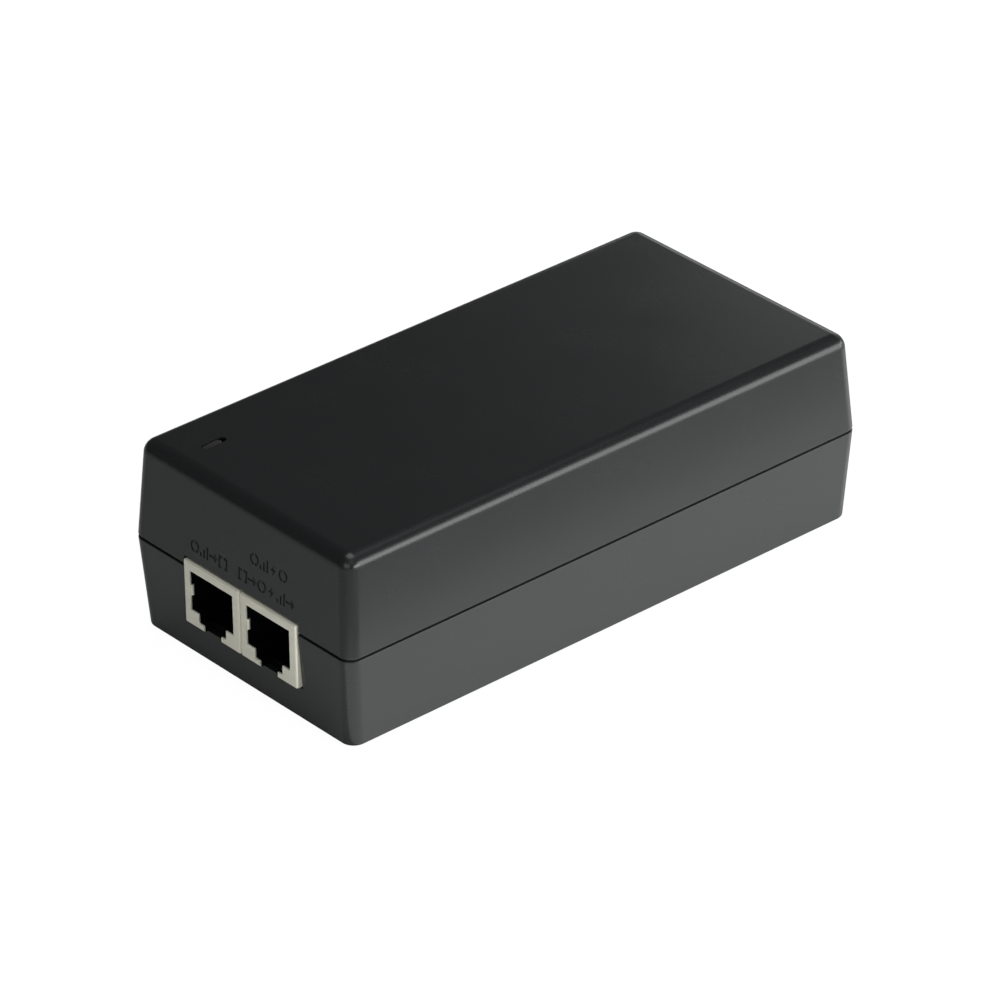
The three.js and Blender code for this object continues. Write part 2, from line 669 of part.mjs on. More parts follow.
// An electrolytic can with its sleeve's crimp near the foot and a rim round the top.
function can({ x, y, radius, height }) {
  const [bottom, top] = [ON_BOARD, ON_BOARD + height];
  return latheAt(x, y, [
    [0, bottom],
    [radius, bottom],
    [radius, bottom + 1.6],
    [radius - 0.5, bottom + 2.2],
    [radius, bottom + 2.8],
    [radius, top - 0.5],
    [radius - 0.6, top],
    [radius - 1.2, top - 0.3],
    [0, top - 0.3],
  ]);
}

// A box from x to x + reach along x, whichever way reach points.
const boxFrom = (x, reach, y0, y1, z0, z1) =>
  box(Math.min(x, x + reach), Math.max(x, x + reach), y0, y1, z0, z1);

// A tab-mounted power part standing against a heatsink; face is the side its tab is on, along x.
function tabPart(x, y, face) {
  const { width, thick, tab, low, middle, high, leadPitch } = TAB_PART;
  const [y0, y1] = [y - width / 2, y + width / 2];
  const body = boxFrom(x, -face * thick, y0, y1, ON_BOARD + low, ON_BOARD + middle);
  const plate = boxFrom(x, -face * tab, y0, y1, ON_BOARD + middle - 0.5, ON_BOARD + high);
  const leadX = x - face * (tab + 0.6);
  const leads = [-1, 0, 1].map((k) =>
    blockAt(leadX, y + k * leadPitch, 0.6, 0.8, ON_BOARD, ON_BOARD + low + 1),
  );
  return join(body, plate, ...leads);
}

// A plate with vertical fins on the side away from its power part.
function heatsink({ x, y0, y1, face }) {
  const { plate, fin, finReach, finPitch, height } = SINK;
  const top = ON_BOARD + height;
  const fins = [];
  for (let y = y0 + 0.1; y + fin <= y1; y += finPitch) {
    fins.push(boxFrom(x, face * finReach, y, y + fin, ON_BOARD + 2, top));
  }
  return join(box(x - plate / 2, x + plate / 2, y0, y1, ON_BOARD, top), ...fins);
}

// Transformer: the core's frame lies flat with its middle leg along y, through the bobbin and winding.
function transformerCore() {
  const { x, y, size, thick, side, leg, yoke, middle } = CORE;
  const windowWidth = (size - leg) / 2 - side;
  const windows = [-1, 1].map((s) => {
    const windowX = x + s * (leg / 2 + windowWidth / 2);
    return blockAt(windowX, y, windowWidth, size - 2 * yoke, middle - thick, middle + thick);
  });
  return cut(blockAt(x, y, size, size, middle - thick / 2, middle + thick / 2), ...windows);
}

// A block along y, centred on the axis of the core's middle leg.
const blockOnLeg = ([sizeX, sizeZ], y0, y1) =>
  blockAt(CORE.x, (y0 + y1) / 2, sizeX, y1 - y0, CORE.middle - sizeZ / 2, CORE.middle + sizeZ / 2);

// A rectangular tube round the core's middle leg; outer and inner are its sizes in x and z.
const tubeRoundLeg = (y0, y1, outer, inner) =>
  cut(blockOnLeg(outer, y0, y1), blockOnLeg(inner, y0 - 1, y1 + 1));

const BOBBIN_END = (CORE.size - 2 * CORE.yoke) / 2 - 0.3;
const LEG_HOLE = [CORE.leg + 0.4, CORE.thick + 0.4];

function transformerBobbin() {
  const { x, y, middle } = CORE;
  const { wall, flange, flangeX, flangeZ, pinPitch } = BOBBIN;
  const tube = LEG_HOLE.map((size) => size + 2 * wall);
  let bobbin = tubeRoundLeg(y - BOBBIN_END, y + BOBBIN_END, tube, LEG_HOLE);
  for (const y0 of [y - BOBBIN_END, y + BOBBIN_END - flange]) {
    const y1 = y0 + flange;
    const rail = box(x - flangeX / 2, x + flangeX / 2, y0, y1, ON_BOARD + 0.5, middle - flangeZ / 2 + 0.5);
    const pins = [-1.5, -0.5, 0.5, 1.5].map((k) =>
      blockAt(x + k * pinPitch, (y0 + y1) / 2, 0.8, 0.8, ON_BOARD, ON_BOARD + 1),
    );
    bobbin = join(bobbin, tubeRoundLeg(y0, y1, [flangeX, flangeZ], LEG_HOLE), rail, ...pins);
  }
  return bobbin;
}

function transformerWinding() {
  const end = BOBBIN_END - BOBBIN.flange - 0.2;
  const [y0, y1] = [CORE.y - end, CORE.y + end];
  const outside = roundedRect(BOBBIN.flangeX / 2 - 0.4, BOBBIN.flangeZ / 2 - 0.6, 3);
  const hole = LEG_HOLE.map((size) => size + 2 * (BOBBIN.wall + AIR));
  return cut(
    prismY(outside, y0, y1, 4).translate(CORE.x, 0, CORE.middle),
    blockOnLeg(hole, y0 - 1, y1 + 1),
  );
}

function outputChoke() {
  const { x, y, flange, waist, height } = OUTPUT_CHOKE;
  const [bottom, top] = [ON_BOARD, ON_BOARD + height];
  return latheAt(x, y, [
    [0, bottom],
    [flange, bottom],
    [flange, bottom + 1.6],
    [waist, bottom + 2],
    [waist, top - 2],
    [flange, top - 1.6],
    [flange, top],
    [0, top],
  ]);
}

// A moulded package with a row of leads along each x side.
function leadedPackage({ x, y, sizeX, sizeY, height, leadsPerSide, pitch }) {
  const parts = [blockAt(x, y, sizeX, sizeY, ON_BOARD + 0.4, ON_BOARD + height)];
  for (let i = 0; i < leadsPerSide; i++) {
    const at = y + (i - (leadsPerSide - 1) / 2) * pitch;
    parts.push(blockAt(x, at, sizeX + 2.4, 0.5, ON_BOARD, ON_BOARD + 0.8));
  }
  return join(...parts);
}

// ---------------------------------------------------------------- assembly
const assembly = new THREE.Group();
assembly.position.z = SEAM_Z;

function add(name, material, shape) {
  const mesh = new THREE.Mesh(geometryOf(solidOf(shape)), MATERIALS[material]);
  mesh.name = name;
  assembly.add(mesh);
}

add("top_shell", "casing", topShell());
add("bottom_shell", "casing", bottomShell());
add("rating_label", "label", ratingLabel());
corners.forEach(([sx, sy], i) => {
  add(`case_screw_${i + 1}`, "screw_steel", caseScrew(sx * SCREW_X, sy * SCREW_Y));
  add(`rubber_foot_${i + 1}`, "rubber", rubberFoot(sx * FOOT.x, sy * FOOT.y));
});
add("light_pipe", "smoked_lens", lightPipe());
add("status_led", "smoked_lens", statusLed());

for (const [jack, x] of Object.entries(JACK_X)) {
  add(`${jack}_shield`, "jack_shield", jackShield(x));
  add(`${jack}_housing`, "jack_plastic", jackHousing(x));
  add(`${jack}_contact_carrier`, "jack_plastic", contactCarrier(x));
  for (let i = 0; i < CONTACT.count; i++) {
    const middle = x + (i - (CONTACT.count - 1) / 2) * CONTACT.pitch;
    add(`${jack}_contact_${i + 1}`, "contact_gold", springContact(middle));
  }
}

add("inlet_body", "inlet_plastic", inletBody());
for (const blade of blades) add(blade.name, "pin_nickel", inletBlade(blade));

add("circuit_board", "board", circuitBoard());
add("insulating_sheet", "fish_paper", insulatingSheet());
add("fuse", "fuse_body", fuse());
add("inrush_thermistor", "thermistor_green", standingDisc(THERMISTOR));
add("x_capacitor", "film_yellow", xCapacitor());
add("common_mode_choke", "choke_copper", commonModeChoke());
add("bridge_rectifier", "epoxy_black", bridgeRectifier());
add("bulk_capacitor", "capacitor_sleeve", can(BULK_CAPACITOR));
add("primary_heatsink", "heatsink", heatsink(PRIMARY_SINK));
add("switching_transistor", "epoxy_black", tabPart(PRIMARY_SINK.x - 1, 5, PRIMARY_SINK.face));
add("transformer_core", "ferrite", transformerCore());
add("transformer_bobbin", "bobbin", transformerBobbin());
add("transformer_winding", "winding_tape", transformerWinding());
add("y_capacitor", "disc_blue", standingDisc(Y_CAPACITOR));
add("optocoupler", "epoxy_black", leadedPackage(OPTOCOUPLER));
add("secondary_heatsink", "heatsink", heatsink(SECONDARY_SINK));
add("output_diode", "epoxy_black", tabPart(SECONDARY_SINK.x + 1, -27, SECONDARY_SINK.face));
OUTPUT_CAPACITORS.forEach((place, i) => add(`output_capacitor_${i + 1}`, "capacitor_sleeve", can(place)));
add("output_choke", "choke_copper", outputChoke());
add("data_transformer", "epoxy_black", leadedPackage(DATA_TRANSFORMER));

const injector = new THREE.Group();
injector.add(assembly);

export default injector;
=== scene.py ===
"""The looks of a power-over-Ethernet injector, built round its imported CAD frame.

Lengths are metres in the frame's own axes: +Z up, the network sockets face -Y, the mains inlet faces +Y.
"""

import json
import math

import bmesh
import bpy
from mathutils import Matrix, Vector


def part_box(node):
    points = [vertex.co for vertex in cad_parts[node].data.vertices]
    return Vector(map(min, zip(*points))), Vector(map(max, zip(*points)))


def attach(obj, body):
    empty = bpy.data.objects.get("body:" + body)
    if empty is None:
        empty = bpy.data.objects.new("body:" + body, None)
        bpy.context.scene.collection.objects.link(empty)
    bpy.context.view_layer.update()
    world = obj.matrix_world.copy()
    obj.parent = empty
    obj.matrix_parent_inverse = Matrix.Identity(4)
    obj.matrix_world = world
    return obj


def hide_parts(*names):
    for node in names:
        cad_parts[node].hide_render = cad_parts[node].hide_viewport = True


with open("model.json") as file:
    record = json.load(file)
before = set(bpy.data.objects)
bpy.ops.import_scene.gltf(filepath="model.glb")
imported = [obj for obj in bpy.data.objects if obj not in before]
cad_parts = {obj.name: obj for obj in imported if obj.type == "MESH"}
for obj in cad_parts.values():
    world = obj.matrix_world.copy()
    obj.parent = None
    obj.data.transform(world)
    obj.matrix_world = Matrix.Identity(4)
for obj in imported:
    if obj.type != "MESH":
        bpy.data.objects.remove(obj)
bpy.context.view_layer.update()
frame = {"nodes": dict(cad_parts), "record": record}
NODES = frame["nodes"]
MM = 0.001

# ---------------------------------------------------------------- driving dimensions
CASE_LOW, CASE_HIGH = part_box("bottom_shell")
LIP_DEPTH = 1.3 * MM  # the lower shell's lip stands this far above the seam
SEAM = CASE_HIGH.z - LIP_DEPTH
UNDERSIDE = CASE_LOW.z
SEAM_GAP = 0.4 * MM
SEAM_ROUND = 0.25 * MM
GROOVE_DEPTH = 0.42 * MM
HALF_X = 30 * MM
HALF_Y = 60.75 * MM
WALL = 2 * MM
CORNER = 2.7 * MM
UPPER = {"height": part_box("top_shell")[1].z - SEAM, "inset": 1.35 * MM, "edge": 2.6 * MM}
LOWER = {"height": SEAM - UNDERSIDE, "inset": 1.15 * MM, "edge": 0.4 * MM}
INNER_CHAMFER = 0.6 * MM
LIP_POCKET = 1.6 * MM  # how far the lower shell's lip can reach into the upper one
LIP_PLAY = 0.12 * MM
HOLE_CLEARANCE = 0.25 * MM
HOLE_HEADROOM = 0.3 * MM
CUT_PAST = 1 * MM  # how far a cutter reaches past the surface that it cuts
JACKS = ("data_in", "power_out")
# The lamp's slot and its lens. The shifts are along y from the light pipe's axis.
LAMP = {
    "slot_length": 5.3 * MM,
    "slot_width": 1.7 * MM,
    "slot_shift": -0.1 * MM,
    "length": 4.2 * MM,
    "width": 1.64 * MM,
    "shift": -0.6 * MM,
    "lean": 0.06,
    "crown": 0.35 * MM,
    "sunk": 0.05 * MM,
    "root": 1.2 * MM,
}
LAMP_COLLAR = {"drop": 0.1 * MM, "radius": 3 * MM, "thick": 1.5 * MM}
LAMP_STEM = {"radius": 1.4 * MM, "chamfer": 0.1 * MM, "overlap": 1 * MM}
# Seats sunk in the underside.
SCREW_WELL = {"clearance": 0.5 * MM, "depth": 3 * MM}
FOOT_SEAT = {"clearance": 0.25 * MM, "depth": 0.5 * MM}
LABEL_SEAT = {"clearance": 0.2 * MM, "corner": 1.2 * MM, "depth": 0.35 * MM}

# ---------------------------------------------------------------- camera
CAMERA = {
    "azimuth": math.radians(49.18),
    "elevation": math.radians(30.46),
    "roll": math.radians(-0.75),
    "distance": 1.143,
    "rise": -0.00366,
    "lens": 228.4,
}


def add_camera():
    """A camera at the photo's angle; elevation and azimuth are those of its place, from straight in front."""
    azimuth, elevation, roll = CAMERA["azimuth"], CAMERA["elevation"], CAMERA["roll"]
    back = Vector(
        (
            math.sin(azimuth) * math.cos(elevation),
            -math.cos(azimuth) * math.cos(elevation),
            math.sin(elevation),
        )
    )
    level = Vector((math.cos(azimuth), math.sin(azimuth), 0))
    upright = back.cross(level)
    right = level * math.cos(roll) + upright * math.sin(roll)
    up = upright * math.cos(roll) - level * math.sin(roll)
    data = bpy.data.cameras.new("camera")
    data.lens = CAMERA["lens"]
    data.sensor_width = 36
    data.clip_start = 0.05
    camera = bpy.data.objects.new("camera", data)
    turn = Matrix((right, up, back)).transposed().to_4x4()
    place = Vector((0, 0, SEAM)) + back * CAMERA["distance"] + up * CAMERA["rise"]
    camera.matrix_world = Matrix.Translation(place) @ turn
    bpy.context.scene.collection.objects.link(camera)
    bpy.context.scene.camera = camera


# ---------------------------------------------------------------- mesh helpers
SMOOTH_ANGLE = math.radians(35)


def piece_from(name, build):
    """A new object whose mesh is what build adds to an empty bmesh."""
    mesh = bpy.data.meshes.new(name)
    bm = bmesh.new()
    build(bm)
    bmesh.ops.remove_doubles(bm, verts=bm.verts, dist=1e-8)
    bmesh.ops.recalc_face_normals(bm, faces=bm.faces)
    bm.to_mesh(mesh)
    bm.free()
    piece = bpy.data.objects.new(name, mesh)
    bpy.context.scene.collection.objects.link(piece)
    return piece


def bake_modifiers(piece):
    """Turns the piece's modifiers into plain mesh."""
    graph = bpy.context.evaluated_depsgraph_get()
    mesh = bpy.data.meshes.new_from_object(piece.evaluated_get(graph))
    piece.modifiers.clear()
    piece.data = mesh


def boolean(piece, cutter, operation="DIFFERENCE"):
    """Cuts a throwaway object out of the piece, or joins it on."""
    step = piece.modifiers.new("boolean", "BOOLEAN")
    step.operation = operation
    step.solver = "EXACT"
    step.object = cutter
    bake_modifiers(piece)
    bpy.data.objects.remove(cutter)


def shade(piece, angle=SMOOTH_ANGLE):
    """Smooth shading that keeps edges sharper than angle crisp."""
    bm = bmesh.new()
    bm.from_mesh(piece.data)
    for face in bm.faces:
        face.smooth = True
    for edge in bm.edges:
        edge.smooth = len(edge.link_faces) == 2 and edge.calc_face_angle(0) < angle
    bm.to_mesh(piece.data)
    bm.free()
    piece.modifiers.new("flat faces stay flat", "WEIGHTED_NORMAL").keep_sharp = True


def bevel(piece, width):
    """Rounds the piece's sharp edges."""
    step = piece.modifiers.new("rounded edges", "BEVEL")
    step.width = width
    step.segments = 2
    step.limit_method = "ANGLE"
    step.angle_limit = SMOOTH_ANGLE
    step.miter_outer = "MITER_ARC"


def rounded_ring(half_x, half_y, radius, z, steps=10):
    """A rounded rectangle's points at height z, anticlockwise."""
    points = []
    for quarter, (sx, sy) in enumerate(((1, 1), (-1, 1), (-1, -1), (1, -1))):
        for i in range(steps + 1):
            turn = math.pi / 2 * (quarter + i / steps)
            x = (half_x - radius) * sx + radius * math.cos(turn)
            y = (half_y - radius) * sy + radius * math.sin(turn)
            points.append(Vector((x, y, z)))
    return points


def loft(bm, rings, capped=True):
    """Skins a list of rings with the same number of points each, and closes its ends if capped."""
    rows = [[bm.verts.new(p) for p in ring] for ring in rings]
    for low, high in zip(rows, rows[1:]):
        count = len(low)
        for i in range(count):
            j = (i + 1) % count
            bm.faces.new((low[i], low[j], high[j], high[i]))
    if capped:
        bm.faces.new(rows[0][::-1])
        bm.faces.new(rows[-1])


def prism(bm, outline, low, high, place=Matrix.Identity(4)):
    """An outline of (u, v) points between two heights, put in place by a matrix."""
    rings = [[place @ Vector((u, v, w)) for u, v in outline] for w in (low, high)]
    loft(bm, rings)


def block(bm, low, high):
    """A box between two corners."""
    outline = [(low[0], low[1]), (high[0], low[1]), (high[0], high[1]), (low[0], high[1])]
    prism(bm, outline, low[2], high[2])


def lathe(bm, profile, centre, sides=48):
    """Turns (radius, z) points round the vertical axis through centre; the ends lie on the axis."""
    x, y = centre[0], centre[1]
    turns = [2 * math.pi * i / sides for i in range(sides)]
    rings = []
    for radius, z in profile[1:-1]:
        rings.append([Vector((x + radius * math.cos(t), y + radius * math.sin(t), z)) for t in turns])
    loft(bm, rings, capped=False)
    for ring, (_, z) in ((rings[0], profile[0]), (rings[-1], profile[-1])):
        tip = bm.verts.new((x, y, z))
        corners = [bm.verts.new(p) for p in ring]
        for i in range(sides):
            bm.faces.new((corners[i], corners[(i + 1) % sides], tip))


def arc(centre, radius, start, end, steps=6):
    """Points on an arc in a plane, from the start angle to the end angle in degrees."""
    points = []
    for i in range(steps + 1):
        turn = math.radians(start + (end - start) * i / steps)
        points.append((centre[0] + radius * math.cos(turn), centre[1] + radius * math.sin(turn)))
    return points


def dome(radius, steps):
    """Pairs (set in, drop) of a quarter round edge, from its foot to its top."""
    turns = (math.pi / 2 * i / steps for i in range(steps + 1))
    return [(radius * (1 - math.cos(t)), radius * (1 - math.sin(t))) for t in turns]


def capsule(half_length, radius, steps=8):
    """The outline of a slot with round ends that runs along v."""
    straight = half_length - radius
    return arc((0, straight), radius, 0, 180, steps) + arc((0, -straight), radius, 180, 360, steps)


# ---------------------------------------------------------------- materials
class Shader:
    """A material being built: its principled shader and short ways to add the nodes round it."""

    def __init__(self, name, rough, metal=0.0, specular=0.5):
        self.made = bpy.data.materials.new(name)
        self.made.use_nodes = True
        self.nodes = self.made.node_tree.nodes
        self.links = self.made.node_tree.links
        self.surface = self.nodes["Principled BSDF"]
        self.surface.inputs["Roughness"].default_value = rough
        self.surface.inputs["Metallic"].default_value = metal
        self.surface.inputs["Specular IOR Level"].default_value = specular
        self.place = self.nodes.new("ShaderNodeTexCoord").outputs["Object"]

    def noise(self, size, detail=3.0, stretch=None):
        """Noise whose features are about size metres across, from 0 to 1."""
        node = self.nodes.new("ShaderNodeTexNoise")
        node.inputs["Scale"].default_value = 1 / size
        node.inputs["Detail"].default_value = detail
        place = self.place
        if stretch:
            mapping = self.nodes.new("ShaderNodeMapping")
            mapping.inputs["Scale"].default_value = stretch
            self.links.new(place, mapping.inputs["Vector"])
            place = mapping.outputs["Vector"]
        self.links.new(place, node.inputs["Vector"])
        return node.outputs["Fac"]

    def math(self, operation, a, b=0.0):
        """One sum; each of a and b is a number or a socket."""
        node = self.nodes.new("ShaderNodeMath")
        node.operation = operation
        for socket, value in zip(node.inputs, (a, b)):
            if isinstance(value, (int, float)):
                socket.default_value = value
            else:
                self.links.new(value, socket)
        return node.outputs[0]

    def remap(self, value, low, high, new_low, new_high):
        """Carries the range from low to high over to the range from new_low to new_high."""
        node = self.nodes.new("ShaderNodeMapRange")
        node.inputs["From Min"].default_value = low
        node.inputs["From Max"].default_value = high
        node.inputs["To Min"].default_value = new_low
        node.inputs["To Max"].default_value = new_high
        self.links.new(value, node.inputs["Value"])
        return node.outputs["Result"]

    def blend(self, amount, one, other):
        """A colour between two others; each is a colour or a socket."""
        node = self.nodes.new("ShaderNodeMix")
        node.data_type = "RGBA"
        self.links.new(amount, node.inputs["Factor"])
        for socket, value in ((node.inputs[6], one), (node.inputs[7], other)):
            if isinstance(value, tuple):
                socket.default_value = (*value, 1)
            else:
                self.links.new(value, socket)
        return node.outputs[2]

    def edges(self, radius):
        """About 1 on sharp edges and 0 elsewhere."""
        rounded = self.nodes.new("ShaderNodeBevel")
        rounded.samples = 4
        rounded.inputs["Radius"].default_value = radius
        flat = self.nodes.new("ShaderNodeNewGeometry")
        dot = self.nodes.new("ShaderNodeVectorMath")
        dot.operation = "DOT_PRODUCT"
        self.links.new(rounded.outputs["Normal"], dot.inputs[0])
        self.links.new(flat.outputs["Normal"], dot.inputs[1])
        return self.remap(dot.outputs["Value"], 0.99, 0.8, 0, 1)

    def specks(self, spacing, radius, share):
        """Sparse round dots: 1 inside a dot, 0 outside. share is how many of the cells have one."""
        cells = self.nodes.new("ShaderNodeTexVoronoi")
        cells.inputs["Scale"].default_value = 1 / spacing
        self.links.new(self.place, cells.inputs["Vector"])
        near = self.math("LESS_THAN", cells.outputs["Distance"], radius / spacing)
        pick = self.nodes.new("ShaderNodeSeparateColor")
        self.links.new(cells.outputs["Color"], pick.inputs["Color"])
        return self.math("MULTIPLY", near, self.math("LESS_THAN", pick.outputs[0], share))

    def bump(self, height, depth, strength=1.0):
        """Grain that is depth metres deep where height goes from 0 to 1."""
        node = self.nodes.new("ShaderNodeBump")
        node.inputs["Strength"].default_value = strength
        node.inputs["Distance"].default_value = depth
        self.links.new(height, node.inputs["Height"])
        self.links.new(node.outputs["Normal"], self.surface.inputs["Normal"])

    def colour(self, socket):
        self.links.new(socket, self.surface.inputs["Base Color"])

    def roughness(self, socket):
        self.links.new(socket, self.surface.inputs["Roughness"])


def scaled(colour, factor):
    """The colour made lighter or darker."""
    return tuple(min(1.0, c * factor) for c in colour)


def plain(name, colour, rough, metal=0.0, grain=0.4 * MM, depth=0.01 * MM, specular=0.5):
    """A moulded or plated surface: colour that varies a little, worn edges and a fine grain."""
    shader = Shader(name, rough, metal, specular)
    patchy = shader.blend(shader.noise(6 * MM), scaled(colour, 0.88), scaled(colour, 1.1))
    worn = shader.math("MULTIPLY", shader.edges(0.15 * MM), 0.5)
    shader.colour(shader.blend(worn, patchy, scaled(colour, 1.7)))
    shader.roughness(shader.remap(shader.noise(2.5 * MM), 0.3, 0.7, rough - 0.06, rough + 0.06))
    shader.bump(shader.noise(grain), depth)
    return shader.made


def casing():
    """Black moulded plastic with a fine spark-eroded texture, a little dust, and sharp edges a little
    lighter: partly rubbed wear, partly a painted sheen.
    """
    dark, light, dust = (0.0086, 0.0091, 0.0098), (0.011, 0.0115, 0.0122), (0.12, 0.12, 0.115)
    shader = Shader("casing", 0.26, specular=0.4)
    patchy = shader.blend(shader.noise(9 * MM), dark, light)
    fine = shader.blend(shader.noise(0.35 * MM, 2), patchy, scaled(light, 1.3))
    # Sharp edges are painted lighter here: partly rubbed wear, partly a painted sheen.
    worn = shader.blend(shader.math("MULTIPLY", shader.edges(0.2 * MM), 0.3), fine, (0.03, 0.03, 0.032))
    shader.colour(shader.blend(shader.specks(6 * MM, 0.1 * MM, 0.2), worn, dust))
    shader.roughness(shader.remap(shader.noise(14 * MM, 4), 0.3, 0.7, 0.25, 0.28))
    shader.bump(shader.noise(0.35 * MM, 2), 0.01 * MM, 0.6)
    return shader.made


def tin_plate():
    """The sockets' shields: bright tin plate with faint rolling marks."""
    shader = Shader("jack_shield", 0.42, 0.35)
    colour = (0.88, 0.845, 0.725)
    rolled = shader.noise(0.5 * MM, 4, stretch=(0.08, 1, 1))
    shader.colour(shader.blend(rolled, scaled(colour, 0.9), scaled(colour, 1.08)))
    shader.roughness(shader.remap(rolled, 0.3, 0.7, 0.36, 0.5))
    shader.bump(rolled, 0.004 * MM, 0.6)
    return shader.made


def gold():
    """The contacts: drawn wire with a bright gold plating."""
    shader = Shader("contact_gold", 0.22, 1.0)
    colour = (0.83, 0.6, 0.24)
    drawn = shader.noise(0.3 * MM, 3, stretch=(1, 0.1, 0.1))
    shader.colour(shader.blend(drawn, scaled(colour, 0.85), colour))
    shader.roughness(shader.remap(drawn, 0.3, 0.7, 0.16, 0.3))
    shader.bump(drawn, 0.002 * MM, 0.5)
    return shader.made


def smoked_lens():
    """The lamp's lens: smoky plastic that lets a little light through."""
    shader = Shader("smoked_lens", 0.3, specular=0.4)
    shader.surface.inputs["Transmission Weight"].default_value = 0.2
    shader.surface.inputs["IOR"].default_value = 1.49
    cloudy = shader.noise(0.8 * MM)
    shader.colour(shader.blend(cloudy, (0.035, 0.035, 0.031), (0.052, 0.052, 0.047)))
    shader.roughness(shader.remap(cloudy, 0.3, 0.7, 0.26, 0.36))
    shader.bump(cloudy, 0.01 * MM, 0.3)
    return shader.made


def printed_label():
    """A blank laminated label: a pale field inside a darker printed frame."""
    low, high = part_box("rating_label")
    shader = Shader("label", 0.42)
    split = shader.nodes.new("ShaderNodeSeparateXYZ")
    shader.links.new(shader.place, split.inputs["Vector"])
    across = shader.math("ABSOLUTE", split.outputs["X"])
    along = shader.math("ABSOLUTE", split.outputs["Y"])
    margin = 1.5 * MM
    outside = shader.math(
        "MAXIMUM",
        shader.math("GREATER_THAN", across, (high.x - low.x) / 2 - margin),
        shader.math("GREATER_THAN", along, (high.y - low.y) / 2 - margin),
    )
    field = shader.blend(shader.noise(4 * MM), (0.3, 0.31, 0.32), (0.36, 0.37, 0.38))
    shader.colour(shader.blend(outside, field, (0.09, 0.092, 0.095)))
    shader.roughness(shader.remap(shader.noise(3 * MM), 0.3, 0.7, 0.36, 0.5))
    shader.bump(shader.noise(0.5 * MM), 0.006 * MM)
    return shader.made


WAVE_BAND = 0.314  # one band of a wave texture whose scale is 1


def wound(name, colour, pitch, direction):
    """Turns of enamelled wire or tape side by side."""
    shader = Shader(name, 0.3, 0.6)
    waves = shader.nodes.new("ShaderNodeTexWave")
    waves.bands_direction = direction
    waves.inputs["Scale"].default_value = WAVE_BAND / pitch
    waves.inputs["Distortion"].default_value = 0.6
    shader.links.new(shader.place, waves.inputs["Vector"])
    # The bands darken towards the bump's grooves between turns: painted shade in the grooves, over the
    # winding's own colour.
    shader.colour(shader.blend(waves.outputs["Fac"], scaled(colour, 0.3), colour))
    shader.roughness(shader.remap(shader.noise(1 * MM), 0.3, 0.7, 0.25, 0.4))
    shader.bump(waves.outputs["Fac"], 0.15 * MM)
    return shader.made


def make_materials():
    """Every material, by the name of its slot."""
    return {
        "casing": casing(),
        "jack_shield": tin_plate(),
        "contact_gold": gold(),
        "smoked_lens": smoked_lens(),
        "label": printed_label(),
        "rubber": plain("rubber", (0.014, 0.014, 0.014), 0.75, grain=0.2 * MM, depth=0.03 * MM, specular=0.3),
        "screw_steel": plain("screw_steel", (0.5, 0.51, 0.53), 0.32, 1.0, grain=0.15 * MM, depth=0.004 * MM),
        # The sockets' housing is black plastic, drawn darker and duller still: painted shade for the inside
        # of the sockets.
        "jack_plastic": plain("jack_plastic", (0.0016, 0.002, 0.0022), 0.75, grain=0.3 * MM, specular=0.04),
        "inlet_plastic": plain("inlet_plastic", (0.01, 0.01, 0.0105), 0.4, grain=0.25 * MM),
        "pin_nickel": plain("pin_nickel", (0.6, 0.58, 0.53), 0.28, 1.0, grain=0.2 * MM, depth=0.003 * MM),
        "board": plain("board", (0.012, 0.1, 0.04), 0.4, grain=0.6 * MM),
        "fish_paper": plain("fish_paper", (0.16, 0.19, 0.17), 0.85, grain=0.5 * MM, depth=0.04 * MM),
        "fuse_body": plain("fuse_body", (0.045, 0.022, 0.014), 0.4),
        "thermistor_green": plain("thermistor_green", (0.02, 0.05, 0.024), 0.35),
        "film_yellow": plain("film_yellow", (0.62, 0.35, 0.02), 0.35),
        "choke_copper": wound("choke_copper", (0.5, 0.17, 0.06), 0.6 * MM, "Z"),
        "epoxy_black": plain("epoxy_black", (0.01, 0.01, 0.01), 0.55, grain=0.25 * MM),
        "capacitor_sleeve": plain("capacitor_sleeve", (0.012, 0.02, 0.06), 0.28),
        "heatsink": plain("heatsink", (0.6, 0.61, 0.62), 0.35, 1.0),
        "ferrite": plain("ferrite", (0.025, 0.025, 0.027), 0.6, grain=0.3 * MM, depth=0.03 * MM),
        "bobbin": plain("bobbin", (0.012, 0.012, 0.012), 0.5),
        "winding_tape": wound("winding_tape", (0.65, 0.45, 0.05), 1.5 * MM, "Y"),
        "disc_blue": plain("disc_blue", (0.03, 0.15, 0.42), 0.3),
        # A near-black fill for the floors of the engraved marks, darker than the case round them.
        "mark_fill": plain("mark_fill", (0.004, 0.004, 0.0046), 0.4, grain=0.2 * MM, specular=0.3),
    }


MATERIALS = {}


def finish_piece(piece, body, slot, *replaced, material=None):
    """Gives a new piece its material and its body, and hides the CAD nodes that it stands for."""
    piece.data.materials.clear()
    piece.data.materials.append(MATERIALS[material or slot])
    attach(piece, body)
    if replaced:
        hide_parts(*replaced)


# ---------------------------------------------------------------- case
def case_ring(part, height, set_in):
    """A section of the case at a height above or below the seam, set in from the outer face."""
    inset = part["inset"] * height / part["height"] + set_in
    radius = max(CORNER - set_in, 0.1 * MM)
    sign = 1 if part is UPPER else -1
    return rounded_ring(HALF_X - inset, HALF_Y - inset, radius, SEAM + sign * height)


def shell_rings(part, rim, inner_wall):
    """The shell's sections: down its inside from the closed face, over the rim and up its outside."""
    height, edge = part["height"], part["edge"]
    closed_face = [(height - WALL, WALL + INNER_CHAMFER), (height - WALL - INNER_CHAMFER, WALL)]
    rings = [case_ring(part, h, s) for h, s in closed_face + inner_wall + rim]
    steps = 12
    for i in range(steps + 1):
        turn = math.pi / 2 * i / steps
        set_in = edge * (1 - math.cos(turn))
        rings.append(case_ring(part, height - edge + edge * math.sin(turn), set_in))
    return rings


